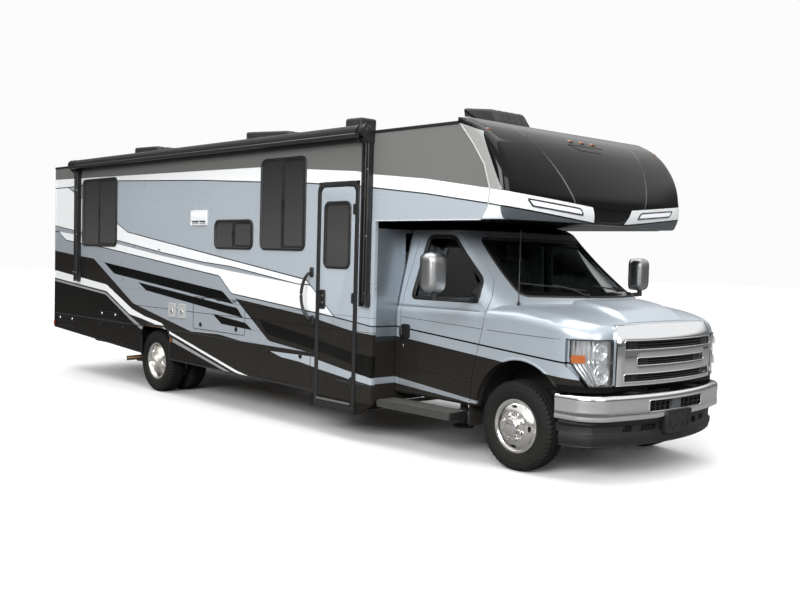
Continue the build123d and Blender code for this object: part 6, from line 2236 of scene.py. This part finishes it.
def makeSeats(s):
    lean = Matrix.Rotation(math.radians(s["lean"]), 4, "Y")
    for side, sign in (("Right", -1), ("Left", 1)):
        y = sign * s["y"]
        base = newObject("seatBase" + side,
                         joined(prism(roundedRect(-1.28, -0.80, y - 0.24, y + 0.24, 0.05, 5), "z",
                                                         0.745, 0.95)), [mats["dash"], mats["satin"]])
        round2(base, 0.02, 3, 50)
        addMesh(base, joined(*[tube([(-1.29, y + side2 * 0.19, 0.749), (-0.76, y + side2 * 0.19, 0.749)],
                                    0.012, 8, 1)
                               for side2 in (-1, 1)],
                               tube([(-1.30, y - sign * 0.262, 1.0), (-1.22, y - sign * 0.262,
                                                           1.06), (-1.16, y - sign * 0.262, 1.07)], 0.016, 8,
                                                           0)))
        finishPiece(base, "chassis", ["cab_seats"], 40)
        cushions = [("seatCushion", (-1.03, y, 1.02), Matrix.Rotation(math.radians(-4), 4, "Y"), s["seat"],
                     [(0, -0.09, 0.010), (0, 0.03, 0.010), (0, 0.15, 0.010), (1, -0.165, 0.014),
                      (1, 0.165, 0.014)]),
                    ("seatBack", (-1.268, y, 1.385), lean, s["back"],
                     [(0, -0.18, 0.010), (0, -0.06, 0.010), (0, 0.06, 0.010), (1, -0.155, 0.013),
                      (1, 0.155, 0.013)]),
                    ("headRest", (-1.308, y, 1.79), lean, s["head"], [(0, 0.035, 0.006)])]
        for name, place, turn, halves, channels in cushions:
            shape = cushionShape(halves, Matrix.Translation(place) @ turn, channels, s,
                                 5.0 if name != "headRest" else 3.0)
            piece(name + side, shape, mats["fabric"], angle=60)
        posts = [tube([(-1.315, y + k * 0.05, 1.66), (-1.311, y + k * 0.05, 1.76)], 0.006, 8) for k in (-1,
                                                                                                        1)]
        piece("headPosts" + side, joined(*posts), mats["chrome"])


makeSeats(seatSizes)

# dashboard trim on the CAD dashboard, with the wheel's rim and pad
dashSizes = {"wheel": (-0.69, 0.45, 1.28), "foot": (-0.52, 0.45, 1.18), "ring": 0.19, "grip": 0.0165}


def makeDashTrim(s):
    centre, foot = Vector(s["wheel"]), Vector(s["foot"])
    turn = Vector((0, 0, 1)).rotation_difference((centre - foot).normalized()).to_matrix().to_4x4()
    place = Matrix.Translation(centre) @ turn
    ring = [place @ Vector((s["ring"] * math.cos(a), s["ring"] * math.sin(a), 0))
            for a in [2 * math.pi * k / 64 for k in range(64)]]
    parts = [tube(ring, [s["grip"] + 0.0012 * (k % 8 == 0) for k in range(64)], 14, 0, closed=True)]
    parts.append(moved(pebble((0, 0, 0.004), (0.075, 0.085, 0.024), 3, 0), place))
    for a in (0.0, math.pi, 1.5 * math.pi):
        spoke = [place @ Vector((r * math.cos(a), r * math.sin(a), h))
                 for r, h in ((0.05, 0.012), (0.1, 0.016), (0.15, 0.01), (0.185, 0.002))]
        parts.append(tube(spoke, [0.02, 0.016, 0.013, 0.012], 12, 1))
    parts.append(moved(lathe([(-0.03, 0.04), (0.02, 0.046), (0.06, 0.05), (0.12, 0.055), (0.12, 0.0)], 24,
                             close=False), place @ Matrix.Rotation(math.radians(-90), 4, "X")))
    hood = []
    for i in range(21):
        a = math.pi * i / 20
        hood.append([(x, 0.45 + 0.21 * grow * math.cos(a), z + 0.075 * grow * math.sin(a) ** 0.8)
                     for x, z, grow in ((-0.42, 1.345, 0.9), (-0.50, 1.33, 1.0), (-0.575, 1.305, 1.04),
                                        (-0.575, 1.305, 0.96), (-0.50, 1.32, 0.9))])
    parts.append(grid(hood, closeRow=False, mat=0))
    for y in (-0.62, -0.15, 0.12, 0.74):
        parts.append(pebble((-0.560, y, 1.255), (0.02, 0.075, 0.032), 8, 1, 10))
        for k in range(4):
            parts.append(box(-0.584, -0.578, y - 0.062, y + 0.062, 1.234 + 0.013 * k, 1.239 + 0.013 * k, 0))
    parts.append(pebble((-0.552, -0.02, 1.165), (0.02, 0.11, 0.045), 9, 2, 12))
    for y in (-0.09, -0.02, 0.05):
        parts.append(moved(lathe([(-0.012, 0.017), (0.0, 0.019), (0.012, 0.016), (0.013, 0)], 18,
                                 close=False),
                           Matrix.Translation((-0.56, y, 1.10)) @ Matrix.Rotation(math.radians(90), 4, "Z")))
    parts.append(pebble((-0.415, -0.45, 1.352), (0.05, 0.2, 0.006), 4, 0))
    piece("dashTrim", joined(*parts), [mats["satin"], mats["dash"], mats["gloss"]],
          angle=45)


makeDashTrim(dashSizes)

# treads on the running boards, and the small parts behind the coach
def makeTreads():
    parts = []
    for sign in (-1, 1):
        for k in range(7):
            y = sign * (1.04 + 0.028 * k)
            parts.append(prism([(y - 0.009, 0.4295), (y - 0.006, 0.4335), (y + 0.006, 0.4335),
                                (y + 0.009, 0.4295)], "x", -1.405, -0.515, 0))
        for k in range(28):
            x = -1.395 + 0.031 * k
            for j in range(6):
                y = sign * (1.054 + 0.028 * j)
                parts.append(box(x, x + 0.012, y - 0.004, y + 0.004, 0.4295, 0.4325, 0))
        for x in (-1.4215, -0.5045):
            parts.append(pebble((x + 0.003, sign * 1.1225, 0.3975), (0.009, 0.112, 0.0325), 8, 1, 12))
    piece("boardTreads", joined(*parts), [mats["boardGrip"], mats["satin"]])


def makeRearTrim():
    parts = []
    for sign in (-1, 1):
        parts.append(pebble((-8.442, sign * 1.236, 0.645), (0.030, 0.012, 0.046), 6, 0, 12))
        loop = [(-8.44, sign * 0.09 + 0.022 * math.cos(a), 0.566 + 0.022 * math.sin(a))
                for a in [2 * math.pi * k / 20 for k in range(20)]]
        parts.append(tube(loop, 0.006, 8, 0, closed=True))
        parts.append(pebble((-8.4715, sign * 0.86, 0.648), (0.004, 0.055, 0.018), 5, 2, 10))
    parts.append(prism([(y, z) for y, z in roundedRect(-0.6, 0.6, 0.672, 0.692, 0.006, 3)], "x", -8.474,
                       -8.44, 1))
    for k in range(24):
        parts.append(box(-8.476, -8.47, -0.585 + 0.05 * k, -0.57 + 0.05 * k, 0.61, 0.668, 1))
    socket = lathe([(-0.02, 0.0), (-0.02, 0.03), (0.03, 0.03), (0.036, 0.024), (0.036, 0.0)], 24, close=False)
    parts.append(moved(socket, Matrix.Translation((-8.445, 0.22, 0.565)) @ Matrix.Rotation(math.radians(90),
                                                                                           4, "Z")))
    pin = [(-8.42, -0.06, 0.552), (-8.42, 0.055, 0.552), (-8.42, 0.075, 0.545), (-8.42, 0.08, 0.525)]
    parts.append(tube(pin, 0.0065, 10, 3))
    parts.append(tube([(-8.479, -0.029, 0.523), (-8.479, 0.029, 0.523), (-8.479, 0.029, 0.581),
                       (-8.479, -0.029, 0.581)], 0.0045, 8, 0, closed=True))
    piece("rearTrim", joined(*parts), [mats["satin"], mats["rubber"], mats["red"], mats["alloy"]])


makeTreads()
makeRearTrim()
print("seats, dashboard and small parts made")

addCamera(cameraSettings)
addLights(studioLights)
studioWorld = {"seen": 0.97, "ground": 0.10, "horizon": 0.16, "sky": 0.95, "skyFrom": 0.16, "skyTo": 0.42}


# white behind the object, a darker skyline in what it reflects
def makeWorld(s):
    world = bpy.data.worlds.new("studio")
    bpy.context.scene.world = world
    world.use_nodes = True
    tree = world.node_tree
    height = put(tree, "ShaderNodeSeparateXYZ",
                 {0: put(tree, "ShaderNodeTexCoord").outputs["Generated"]}).outputs["Z"]
    sky = put(tree, "ShaderNodeMapRange", {"Value": height, "From Min": s["skyFrom"], "From Max": s["skyTo"],
                                           "To Min": s["horizon"], "To Max": s["sky"]},
                                           interpolation_type="SMOOTHSTEP")
    around = calc(tree, "MULTIPLY", sky.outputs[0], ranged(tree, calc(tree, "GREATER_THAN", height, 0.0),
                                                           s["ground"], 1.0))
    seen = put(tree, "ShaderNodeLightPath").outputs["Is Camera Ray"]
    level = calc(tree, "ADD", calc(tree, "MULTIPLY", seen, s["seen"]),
                 calc(tree, "MULTIPLY", calc(tree, "SUBTRACT", 1.0, seen), around))
    tree.links.new(level, tree.nodes["Background"].inputs["Strength"])
    tree.nodes["Background"].inputs["Color"].default_value = (1, 1, 1, 1)


def makeFloor():                                 # pale to the eye, darker in the paint's reflections
    material, tree, shader = newMaterial("studioFloor", rough=0.75, specular=0.2)
    grain = useGroup(tree, "fineGrain", {"Scale": 3.0, "Contrast": 0.1})
    pale = mixColour(tree, grain["Shade"], (0.84, 0.84, 0.84, 1), (0.88, 0.88, 0.88, 1))
    seen = put(tree, "ShaderNodeLightPath").outputs["Is Camera Ray"]
    tree.links.new(mixColour(tree, seen, (0.2, 0.2, 0.2, 1), pale), shader.inputs["Base Color"])
    place = put(tree, "ShaderNodeTexCoord").outputs["Object"]
    away = put(tree, "ShaderNodeVectorMath", {0: place}, operation="LENGTH").outputs["Value"]
    far = put(tree, "ShaderNodeMapRange", {"Value": away, "From Min": 7.0, "From Max": 26.0, "To Min": 0.0,
                                           "To Max": 0.42}, interpolation_type="SMOOTHSTEP")
    tree.links.new(calc(tree, "MULTIPLY", seen, far.outputs[0]), shader.inputs["Emission Strength"])
    shader.inputs["Emission Color"].default_value = (1, 1, 1, 1)
    floor = newObject("floor", box(-60, 60, -60, 60, -0.02, 0.0), [material])


makeWorld(studioWorld)
makeFloor()
bpy.context.scene.view_settings.view_transform = "Standard"
